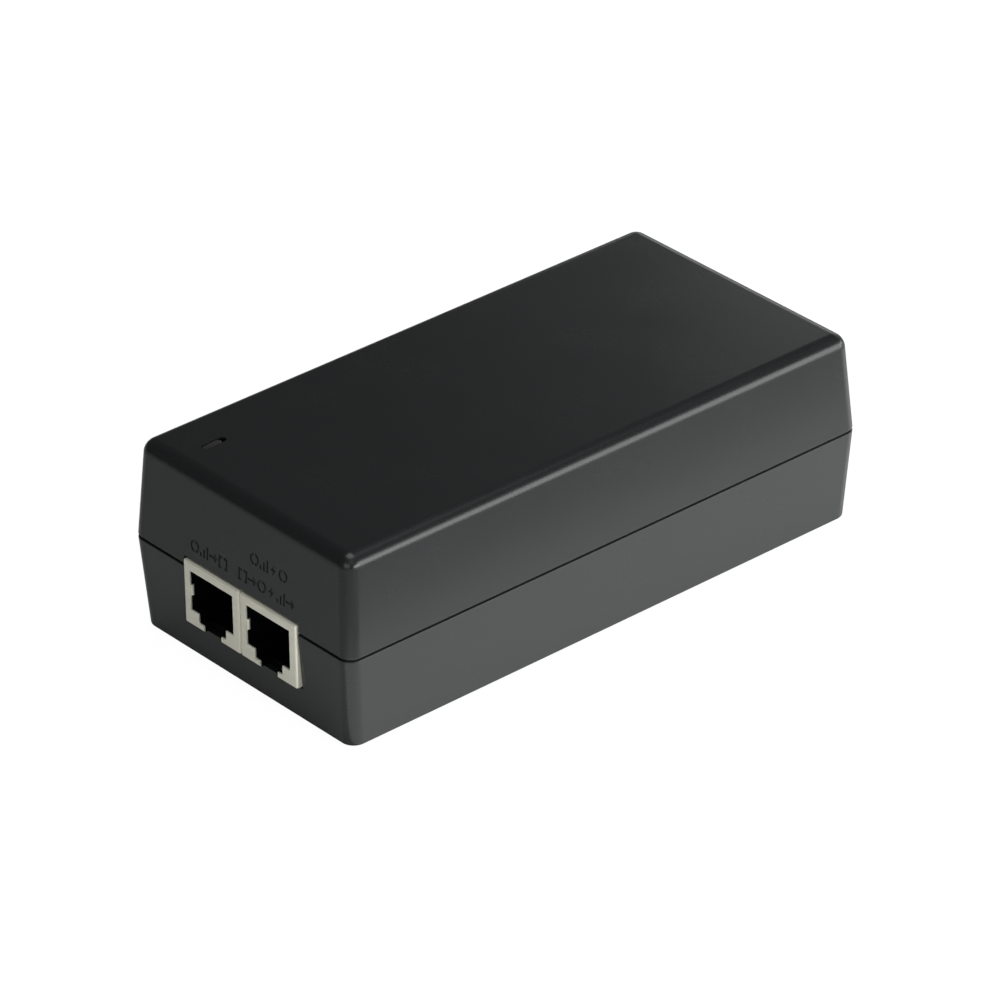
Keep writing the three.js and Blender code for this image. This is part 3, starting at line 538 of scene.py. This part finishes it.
def end_hole(nodes, y_end):
    """A cutter for the hole in an end wall that these nodes pass through."""
    lows, highs = zip(*(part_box(n) for n in nodes))
    reach = 5 * MM
    bottom, top = min(v.z for v in lows) - HOLE_CLEARANCE, max(v.z for v in highs) + HOLE_HEADROOM
    low = (min(v.x for v in lows) - HOLE_CLEARANCE, y_end - reach, bottom)
    high = (max(v.x for v in highs) + HOLE_CLEARANCE, y_end + reach, top)
    return piece_from("cutter", lambda bm: block(bm, low, high))


def cut_end_holes(shell):
    """Opens the end walls for the network sockets and for the mains inlet."""
    boolean(shell, end_hole([f"{j}_shield" for j in JACKS], -HALF_Y))
    boolean(shell, end_hole(["inlet_body"], HALF_Y))


def lamp_slot():
    """A cutter for the lamp's slot in the top."""
    centre = lamp_centre()
    top = SEAM + UPPER["height"]
    middle = centre.y + LAMP["slot_shift"]
    slot = capsule(LAMP["slot_length"] / 2, LAMP["slot_width"] / 2)
    outline = [(centre.x + u, middle + v) for u, v in slot]
    return piece_from("cutter", lambda bm: prism(bm, outline, top - WALL - CUT_PAST, top + CUT_PAST))


def round_seat(node, clearance, depth):
    """A cutter for a round seat in the underside, for a screw's head or a foot."""
    low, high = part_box(node)
    centre = (low + high) / 2
    radius = (high.x - low.x) / 2 + clearance
    sides = 48
    turns = arc((0, 0), radius, 0, 360 - 360 / sides, sides - 1)
    circle = [(centre.x + u, centre.y + v) for u, v in turns]
    return piece_from("cutter", lambda bm: prism(bm, circle, UNDERSIDE - CUT_PAST, UNDERSIDE + depth))


def label_seat():
    """A cutter for the shallow seat of the rating label."""
    low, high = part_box("rating_label")
    half = (high - low) / 2
    grow, top = LABEL_SEAT["clearance"], UNDERSIDE + LABEL_SEAT["depth"]
    ring = rounded_ring(half.x + grow, half.y + grow, LABEL_SEAT["corner"], 0)
    outline = [(p.x, p.y) for p in ring]
    return piece_from("cutter", lambda bm: prism(bm, outline, UNDERSIDE - CUT_PAST, top))


def seam_edge(half_gap):
    """The rounded outer edge of a shell's rim: pairs of height from the seam and set in."""
    return [(half_gap + drop, set_in) for set_in, drop in reversed(dome(SEAM_ROUND, 5))]


def make_top_shell():
    """The upper half of the case, with the lamp's slot and the engraved marks."""
    half_gap = SEAM_GAP / 2
    pocket_wall = GROOVE_DEPTH - LIP_PLAY
    rim = [(half_gap, pocket_wall)] + seam_edge(half_gap)
    inner_wall = [(LIP_POCKET, WALL), (LIP_POCKET, pocket_wall)]
    shell = piece_from("top_case", lambda bm: loft(bm, shell_rings(UPPER, rim, inner_wall)))
    cut_end_holes(shell)
    boolean(shell, lamp_slot())
    for place, outlines in pictograms():
        def marks(bm, place=place, outlines=outlines):
            for outline in outlines:
                prism(bm, outline, -ENGRAVING, CUT_PAST, place)

        boolean(shell, piece_from("cutter", marks))
    shade(shell)
    finish_piece(shell, "case", "casing", "top_shell")


def make_bottom_shell():
    """The lower half of the case, with the lip that keys it to the upper half."""
    half_gap = SEAM_GAP / 2
    rim = [(half_gap, GROOVE_DEPTH)] + seam_edge(half_gap)
    inner_wall = [(-LIP_DEPTH, WALL), (-LIP_DEPTH, GROOVE_DEPTH)]
    shell = piece_from("bottom_case", lambda bm: loft(bm, shell_rings(LOWER, rim, inner_wall)))
    cut_end_holes(shell)
    for i in range(1, 5):
        boolean(shell, round_seat(f"case_screw_{i}", **SCREW_WELL))
        boolean(shell, round_seat(f"rubber_foot_{i}", **FOOT_SEAT))
    boolean(shell, label_seat())
    shade(shell)
    finish_piece(shell, "case", "casing", "bottom_shell")


# ---------------------------------------------------------------- pictograms over the sockets
ENGRAVING = 0.15 * MM
FILL_ROOT, FILL_THICK = 0.05 * MM, 0.03 * MM  # how far the dark fill reaches under and over the engraving's floor
STROKE = 0.46 * MM
GLYPH = 2.45 * MM
GLYPH_STEP = GLYPH * 1.06
LOWER_ROW, UPPER_ROW = 4.9 * MM, 4.5 * MM  # from the seam to the lower row, and from there to the upper one


def arrow(x, y):
    """A solid arrow that points along +u."""
    half, head, shaft = GLYPH / 2, GLYPH * 0.4, STROKE / 2
    neck = x + half - head
    upper = [(x + half, y), (neck, y + head), (neck, y + shaft), (x - half, y + shaft)]
    return [upper + [(u, 2 * y - v) for u, v in reversed(upper[1:])]]


def bars(x, y):
    """Three upright bars that grow from left to right."""
    outlines = []
    for i in range(3):
        left = x + (i - 1) * 2 * STROKE - STROKE / 2
        bottom, top = y - GLYPH / 2, y - GLYPH / 2 + GLYPH * (i + 1) / 3
        outlines.append([(left, bottom), (left + STROKE, bottom), (left + STROKE, top), (left, top)])
    return outlines


def ring(x, y):
    """A circle drawn as a line, in two halves with a small gap between them."""
    gap = 8
    halves = []
    for start in (90, 270):
        outer = arc((x, y), GLYPH / 2, start + gap, start + 180 - gap, 10)
        inner = arc((x, y), GLYPH / 2 - STROKE, start + 180 - 1.5 * gap, start + 1.5 * gap, 10)
        halves.append(outer + inner)
    return halves


def socket_mark(x, y):
    """A plain socket seen from the front: a square bracket on each side, open below."""
    half, notch = GLYPH / 2, GLYPH / 5
    inner = half - STROKE
    left = [(-0.5 * STROKE, half), (-half, half), (-half, -half), (-notch, -half), (-notch, -half + STROKE)]
    left += [(-inner, -half + STROKE), (-inner, inner), (-0.5 * STROKE, inner)]
    return [[(x + sign * u, y + v) for u, v in left] for sign in (1, -1)]


def bolt(x, y):
    """A lightning bolt."""
    s = GLYPH / 2
    zigzag = [(0.25, 1), (-0.65, -0.15), (-0.05, -0.15), (-0.3, -1), (0.65, 0.2), (0.05, 0.2)]
    return [[(x + s * u, y + s * v) for u, v in zigzag]]


def row_of(glyphs, first, y):
    """The outlines of a row of glyphs, evenly spaced from the first one's place."""
    outlines = []
    for i, glyph in enumerate(glyphs):
        outlines += glyph(first + i * GLYPH_STEP, y)
    return outlines


def wall_place(x, height):
    """Puts (u, v, outward) on the leaning end wall over the sockets."""
    lean = math.atan2(UPPER["inset"], UPPER["height"])
    up = Vector((0, math.sin(lean), math.cos(lean)))
    out = Vector((0, -math.cos(lean), math.sin(lean)))
    right = Vector((1, 0, 0))
    y = -HALF_Y + UPPER["inset"] * height / UPPER["height"]
    turn = Matrix((right, up, out)).transposed().to_4x4()
    return Matrix.Translation(Vector((x, y, SEAM + height))) @ turn


def pictograms():
    """Each socket's marks: their place on the wall and their outlines."""
    data_in, power_out = (sum(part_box(f"{j}_shield"), Vector()).x / 2 for j in JACKS)
    incoming = row_of([ring, bars, arrow, socket_mark], -5 * MM, 0)
    outgoing = row_of([ring, bars, bolt, ring], -4.25 * MM, UPPER_ROW)
    outgoing += row_of([socket_mark, arrow, ring, bolt, bars, arrow], -7.3 * MM, 0)
    return [(wall_place(data_in, LOWER_ROW), incoming), (wall_place(power_out, LOWER_ROW), outgoing)]


def make_mark_fill():
    """A near-black sheet on the floor of the engraved marks, which draws them darker than the wall round
    them.
    """
    for jack, (place, outlines) in zip(JACKS, pictograms()):
        def fill(bm, place=place, outlines=outlines):
            for outline in outlines:
                prism(bm, outline, -ENGRAVING - FILL_ROOT, -ENGRAVING + FILL_THICK, place)

        finish_piece(piece_from(f"{jack}_mark", fill), "case", "casing", material="mark_fill")


# ---------------------------------------------------------------- network sockets
SHEET = 0.3 * MM
FOLD = 0.42 * MM
FOLD_SHARE = 0.999  # how much of the fold is set in, so that the face keeps its four corners
MOUTH = {"half": 5.9 * MM, "latch": 3.75 * MM, "slot": 2.4 * MM}
MOUTH_TOP = SEAM - 0.2 * MM
MOUTH_GROW = 0.05 * MM  # how much wider the shield's mouth is than the housing's
SHOULDER = SEAM - 8.2 * MM
LATCH_BOTTOM = SEAM - 10.1 * MM
FINGER = {"bow": 0.36 * MM, "depth": 0.8 * MM, "thick": 0.2 * MM}
FINGER_LOW, FINGER_HIGH = SEAM - 5.3 * MM, SEAM - 3.2 * MM
# A contact's wire, from its fold: the hook's points in y and z, then mm along the leg and mm above it.
WIRE_HOOK = [(0.45 * MM, 0.22 * MM), (0.15 * MM, 0.2 * MM), (-0.05 * MM, 0.08 * MM)]
WIRE_LEG = [(0.3, 0), (2, 0), (4, 0), (6, 0), (7.4, 0), (7.9, 0.04), (8.3, 0.16)]
WIRE_SLOPE = math.radians(24)
WIRE_THICK = 0.3 * MM
FOLD_IN, FOLD_DOWN = 0.25 * MM, 0.3 * MM  # the fold's place, from the front top corner of the CAD contact
WIRE_SECTION = ((1, 0.6), (0.75, 1), (-0.75, 1), (-1, 0.6), (-1, -0.6), (-0.75, -1), (0.75, -1), (1, -0.6))


def mouth_outline(x, bottom, grow):
    """A socket's opening seen from the front: the plug's width, a step for the latch and an open slot."""
    half, latch, slot = (MOUTH[k] + grow for k in ("half", "latch", "slot"))
    top, shoulder, latch_bottom = MOUTH_TOP + grow, SHOULDER - grow, LATCH_BOTTOM - grow
    right = [(half, top), (half, shoulder), (latch, shoulder)]
    right += [(latch, latch_bottom), (slot, latch_bottom), (slot, bottom)]
    return [(x + u, v) for u, v in right] + [(x - u, v) for u, v in reversed(right)]


def facing_socket():
    """Turns an outline in x and z, with its depth running back from y = 0, into the frame's axes."""
    return Matrix(((1, 0, 0, 0), (0, 0, 1, 0), (0, 1, 0, 0), (0, 0, 0, 1)))


def make_shield(jack):
    """A socket's folded metal shield: a sleeve with a mouth in its face, open below."""
    low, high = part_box(f"{jack}_shield")
    x = (low.x + high.x) / 2
    half, height = (high.x - low.x) / 2, (high.z - low.z) / 2
    middle = (low.z + high.z) / 2

    def section(y, set_in):
        points = rounded_ring(half - set_in, height - set_in, max(FOLD - set_in, 0.05 * MM), 0, 6)
        return [Vector((x + p.x, y, middle + p.y)) for p in points]

    def outside(bm):
        rings = [section(low.y + drop, set_in * FOLD_SHARE) for set_in, drop in dome(FOLD, 6)]
        rings.reverse()
        loft(bm, rings + [section(high.y, 0)])

    shield = piece_from(f"{jack}_jack_shield", outside)
    inner_low = (low.x + SHEET, low.y + SHEET, low.z - CUT_PAST)
    inner_high = (high.x - SHEET, high.y - SHEET, high.z - SHEET)
    boolean(shield, piece_from("cutter", lambda bm: block(bm, inner_low, inner_high)))
    outline = mouth_outline(x, low.z - CUT_PAST, MOUTH_GROW)
    through = (low.y - CUT_PAST, low.y + CUT_PAST)
    boolean(shield, piece_from("cutter", lambda bm: prism(bm, outline, *through, facing_socket())))
    for side in (-1, 1):
        boolean(shield, shield_finger(x, side, low.y), "UNION")
    shade(shield)
    finish_piece(shield, "case", "jack_shield", f"{jack}_shield")


def shield_finger(x, side, front):
    """A spring finger folded in from the mouth's side edge: it bows inward and runs back to the wall."""
    bow, depth, thick = (FINGER[k] for k in ("bow", "depth", "thick"))
    root = MOUTH["half"] + 0.16 * MM
    turns = [math.pi * i / 8 for i in range(9)]
    centre_line = [(root - bow * math.sin(t), depth * (0.6 - 0.45 * math.cos(t))) for t in turns]
    inner = [(x + side * (u - thick / 2), front + v) for u, v in centre_line]
    outer = [(x + side * (u + thick / 2), front + v) for u, v in reversed(centre_line)]
    return piece_from("finger", lambda bm: prism(bm, inner + outer, FINGER_LOW, FINGER_HIGH))


def make_contact(jack, number):
    """A gold spring wire: a hook at the fold, a sloping leg and a tip turned up a little."""
    node = f"{jack}_contact_{number}"
    low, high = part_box(node)
    x = (low.x + high.x) / 2
    half = (high.x - low.x) / 2
    fold = Vector((low.y + FOLD_IN, high.z - FOLD_DOWN))
    leg = Vector((math.cos(WIRE_SLOPE), -math.sin(WIRE_SLOPE)))
    path = [fold + Vector(point) for point in WIRE_HOOK]
    path += [fold + leg * reach * MM + Vector((0, lift * MM)) for reach, lift in WIRE_LEG]
    rings = []
    for i, point in enumerate(path):
        ahead, behind = path[min(i + 1, len(path) - 1)], path[max(i - 1, 0)]
        along = (ahead - behind).normalized()
        across = Vector((-along.y, along.x))
        ring = []
        for u, v in WIRE_SECTION:
            spot = point + across * v * WIRE_THICK / 2
            ring.append(Vector((x + u * half, spot.x, spot.y)))
        rings.append(ring)
    contact = piece_from(f"{node}_wire", lambda bm: loft(bm, rings))
    shade(contact, math.radians(50))
    finish_piece(contact, f"{jack}_contacts", "contact_gold", node)


# ---------------------------------------------------------------- small parts
def lamp_centre():
    """The middle of the light pipe's round collar, which is under the middle of its slot."""
    low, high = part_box("light_pipe")
    return (low + high) / 2


def make_lens():
    """The light pipe: a domed lens that fills part of the slot, a round collar under the top and a stem."""
    centre = lamp_centre()
    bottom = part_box("light_pipe")[0].z
    top = SEAM + UPPER["height"]
    half = LAMP["length"] / 2
    sections = [(top - WALL - LAMP["root"], 0)]
    sections += [(top - LAMP["sunk"] - drop, set_in) for set_in, drop in dome(LAMP["crown"], 8)]
    rings = []
    for z, shrink in sections:
        outline = capsule(half - shrink, LAMP["width"] / 2 - shrink)
        sunk = [(u, v, z - LAMP["lean"] * (half - v)) for u, v in outline]
        rings.append([Vector((centre.x + u, centre.y + v + LAMP["shift"], w)) for u, v, w in sunk])
    lens = piece_from("lamp_lens", lambda bm: loft(bm, rings))
    under = top - WALL - LAMP_COLLAR["drop"]
    radius, thick = LAMP_COLLAR["radius"], LAMP_COLLAR["thick"]
    collar = [(0, under - thick), (radius, under - thick), (radius, under), (0, under)]
    boolean(lens, piece_from("collar", lambda bm: lathe(bm, collar, centre)), "UNION")
    radius, chamfer, end = LAMP_STEM["radius"], LAMP_STEM["chamfer"], under - LAMP_STEM["overlap"]
    stem = [(0, bottom), (radius - chamfer, bottom), (radius, bottom + chamfer), (radius, end), (0, end)]
    boolean(lens, piece_from("stem", lambda bm: lathe(bm, stem, centre)), "UNION")
    shade(lens)
    finish_piece(lens, "case", "smoked_lens", "light_pipe")


def make_foot(number):
    """A round rubber foot with a rounded lower edge."""
    node = f"rubber_foot_{number}"
    low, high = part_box(node)
    centre = (low + high) / 2
    radius = (high.x - low.x) / 2
    edge = 0.4 * MM
    rounded = arc((radius - edge, low.z + edge), edge, -90, 0, 6)
    profile = [(0, low.z), (radius * 0.5, low.z), *rounded, (radius, high.z), (0, high.z)]
    foot = piece_from(f"foot_pad_{number}", lambda bm: lathe(bm, profile, centre))
    shade(foot)
    finish_piece(foot, "case", "rubber", node)


# A case screw, which points up: its head's dome and straight rim, its shank and how long its point is.
SCREW = {"dome": 1.6 * MM, "rim": 0.5 * MM, "shank": 1.3 * MM, "taper": 1.5 * MM}
SCREW_TIP = {"radius": 0.3 * MM, "length": 0.1 * MM}
# The cross recess: half of a slot's width and length, and its depth; it narrows towards its floor.
CROSS = {"width": 0.36 * MM, "length": 1.5 * MM, "above": 0.3 * MM, "depth": 1.3 * MM}
CROSS_AT_FACE, CROSS_AT_FLOOR = 1.1, 0.55


def make_screw(number):
    """A dome-headed case screw that points up, with a tapered cross recess."""
    node = f"case_screw_{number}"
    low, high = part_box(node)
    centre = (low + high) / 2
    head, shank = (high.x - low.x) / 2, SCREW["shank"]
    rim = low.z + SCREW["dome"]
    under = rim + SCREW["rim"]
    turns = (math.radians(15 * i) for i in range(1, 7))
    profile = [(0, low.z)] + [(head * math.sin(t), rim - SCREW["dome"] * math.cos(t)) for t in turns]
    profile += [(head, under), (shank, under), (shank, high.z - SCREW["taper"])]
    profile += [(SCREW_TIP["radius"], high.z - SCREW_TIP["length"]), (0, high.z)]
    screw = piece_from(f"screw_{number}", lambda bm: lathe(bm, profile, centre))
    corners = ((-1, -1), (1, -1), (1, 1), (-1, 1))
    ends = ((low.z - CROSS["above"], CROSS_AT_FACE), (low.z + CROSS["depth"], CROSS_AT_FLOOR))
    for wide, deep in ((CROSS["width"], CROSS["length"]), (CROSS["length"], CROSS["width"])):
        rings = []
        for z, grow in ends:
            x, y = wide * grow, deep * grow
            rings.append([Vector((centre.x + x * u, centre.y + y * v, z)) for u, v in corners])
        boolean(screw, piece_from("cross", lambda bm: loft(bm, rings)))
    shade(screw)
    finish_piece(screw, "case", "screw_steel", node)


LABEL_CORNER = 1 * MM
LABEL_EDGE = {"width": 0.06 * MM, "height": 0.05 * MM}


def make_label():
    """The blank label, a thin sheet with round corners and a soft lower edge."""
    low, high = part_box("rating_label")
    half = (high - low) / 2
    rings = []
    for z, shrink in ((low.z, LABEL_EDGE["width"]), (low.z + LABEL_EDGE["height"], 0), (high.z, 0)):
        rings.append(rounded_ring(half.x - shrink, half.y - shrink, LABEL_CORNER, z))
    label = piece_from("blank_label", lambda bm: loft(bm, rings))
    shade(label)
    finish_piece(label, "case", "label", "rating_label")


# ---------------------------------------------------------------- CAD nodes that stay
FINE_EDGE = 0.08 * MM
ROUNDED_NODES = {
    "inlet_body": 0.3 * MM,
    "inlet_line_pin": 0.3 * MM,
    "inlet_neutral_pin": 0.3 * MM,
    "inlet_earth_pin": 0.3 * MM,
    "x_capacitor": 0.5 * MM,
    "common_mode_choke": 0.4 * MM,
    "bridge_rectifier": 0.3 * MM,
    "transformer_core": 0.4 * MM,
    "transformer_winding": 0.5 * MM,
    "fuse": 0.5 * MM,
    "inrush_thermistor": 0.6 * MM,
    "y_capacitor": 0.6 * MM,
    "output_choke": 0.3 * MM,
}


def dress_cad_nodes():
    """Gives every CAD node the material of its slot, and softens the edges of the larger ones."""
    slots = {part["node"]: part["material_slot"] for part in frame["record"]["subparts"]}
    for name, node in NODES.items():
        node.data.materials.clear()
        node.data.materials.append(MATERIALS[slots[name]])
        if node.hide_render:
            continue
        weld = node.modifiers.new("shared corners", "WELD")
        weld.merge_threshold = 1e-7
        bevel(node, ROUNDED_NODES.get(name, FINE_EDGE))
        node.modifiers.new("flat faces stay flat", "WEIGHTED_NORMAL").keep_sharp = True


# ---------------------------------------------------------------- studio
FLOOR_HALF, FLOOR_CORNER, FLOOR_THICK = 3, 1, 0.02
FLOOR_GLOW = 1.08
GLOW_SHARE = 0.9


def add_floor():
    """A pale floor: it lights the object as matt paper does, and looks evenly white itself."""
    rings = [rounded_ring(FLOOR_HALF, FLOOR_HALF, FLOOR_CORNER, z) for z in (-FLOOR_THICK, 0)]
    floor = piece_from("floor", lambda bm: loft(bm, rings))
    shader = Shader("floor", 0.9, specular=0)
    shader.colour(shader.blend(shader.noise(0.3), (0.78, 0.78, 0.78), (0.82, 0.82, 0.82)))
    glow = shader.nodes.new("ShaderNodeEmission")
    glow.inputs["Strength"].default_value = FLOOR_GLOW
    both = shader.nodes.new("ShaderNodeMixShader")
    both.inputs["Fac"].default_value = GLOW_SHARE
    shader.links.new(shader.surface.outputs["BSDF"], both.inputs[1])
    shader.links.new(glow.outputs["Emission"], both.inputs[2])
    seen = shader.nodes.new("ShaderNodeLightPath")
    pick = shader.nodes.new("ShaderNodeMixShader")
    shader.links.new(seen.outputs["Is Camera Ray"], pick.inputs["Fac"])
    shader.links.new(shader.surface.outputs["BSDF"], pick.inputs[1])
    shader.links.new(both.outputs["Shader"], pick.inputs[2])
    shader.links.new(pick.outputs["Shader"], shader.nodes["Material Output"].inputs["Surface"])
    floor.data.materials.append(shader.made)


def add_light(name, place, aim, size, power):
    """A rectangular area light that the camera doesn't see."""
    data = bpy.data.lights.new(name, "AREA")
    data.shape = "RECTANGLE"
    data.size, data.size_y = size
    data.energy = power
    data.color = LIGHT_TINT
    light = bpy.data.objects.new(name, data)
    light.location = place
    light.rotation_euler = (Vector(aim) - Vector(place)).to_track_quat("-Z", "Y").to_euler()
    light.visible_camera = False
    bpy.context.scene.collection.objects.link(light)


def add_world(strength):
    """A dim white room that looks plain white to the camera."""
    world = bpy.data.worlds.new("studio")
    bpy.context.scene.world = world
    world.use_nodes = True
    nodes, links = world.node_tree.nodes, world.node_tree.links
    dim = nodes["Background"]
    dim.inputs["Color"].default_value = (1, 1, 1, 1)
    dim.inputs["Strength"].default_value = strength
    pale = nodes.new("ShaderNodeBackground")
    pale.inputs["Color"].default_value = (1, 1, 1, 1)
    seen = nodes.new("ShaderNodeLightPath")
    mix = nodes.new("ShaderNodeMixShader")
    links.new(seen.outputs["Is Camera Ray"], mix.inputs["Fac"])
    links.new(dim.outputs["Background"], mix.inputs[1])
    links.new(pale.outputs["Background"], mix.inputs[2])
    links.new(mix.outputs["Shader"], nodes["World Output"].inputs["Surface"])


# Each softbox: bearing from +X towards +Y and height angle in degrees, distance, width and height, power.
SOFTBOXES = {
    "key": (36, 12, 0.5, (0.36, 0.22), 1.32),
    "right_front": (5, 10, 0.5, (0.3, 0.1), 1.05),
    "right_back": (65, 10, 0.5, (0.25, 0.1), 0.43),
    "front": (335, 45, 0.6, (0.3, 0.3), 0.17),
    "front_fill": (300, 20, 0.5, (0.3, 0.2), 0.3),
    "back": (110, 20, 0.42, (0.3, 0.16), 0.11),
    "back_low": (125, 14, 0.45, (0.25, 0.1), 0.08),
    "high_right": (40, 70, 0.7, (0.4, 0.4), 0.35),
    "overhead": (0, 88, 0.8, (0.5, 0.5), 2.0),
}
WORLD = 0.1
LIGHT_TINT = (0.965, 1, 0.985)
STUDIO_AIM = Vector((0, 0, 0.02))
FLOOR_CARD = {"place": Vector((HALF_X + 0.0215, 0.02, 0.0008)), "size": (0.045, 0.24), "power": 0.033}


def add_studio():
    """Dim room, a low key light on the right, a fill for the sockets and a lit card beside the long side."""
    add_floor()
    add_world(WORLD)
    for name, (bearing, rise, distance, size, power) in SOFTBOXES.items():
        turn, tilt = math.radians(bearing), math.radians(rise)
        toward = Vector((math.cos(tilt) * math.cos(turn), math.cos(tilt) * math.sin(turn), math.sin(tilt)))
        add_light(name, STUDIO_AIM + toward * distance, STUDIO_AIM, size, power)
    card = FLOOR_CARD["place"]
    add_light("floor_card", card, card + Vector((0, 0, 1)), FLOOR_CARD["size"], FLOOR_CARD["power"])
    bpy.context.scene.view_settings.view_transform = "Standard"


# ---------------------------------------------------------------- the whole object
add_camera()
MATERIALS.update(make_materials())
make_top_shell()
make_bottom_shell()
make_mark_fill()
for jack in JACKS:
    make_shield(jack)
    for number in range(1, 9):
        make_contact(jack, number)
make_lens()
make_label()
for number in range(1, 5):
    make_foot(number)
    make_screw(number)
dress_cad_nodes()
add_studio()

bpy.context.view_layer.update()
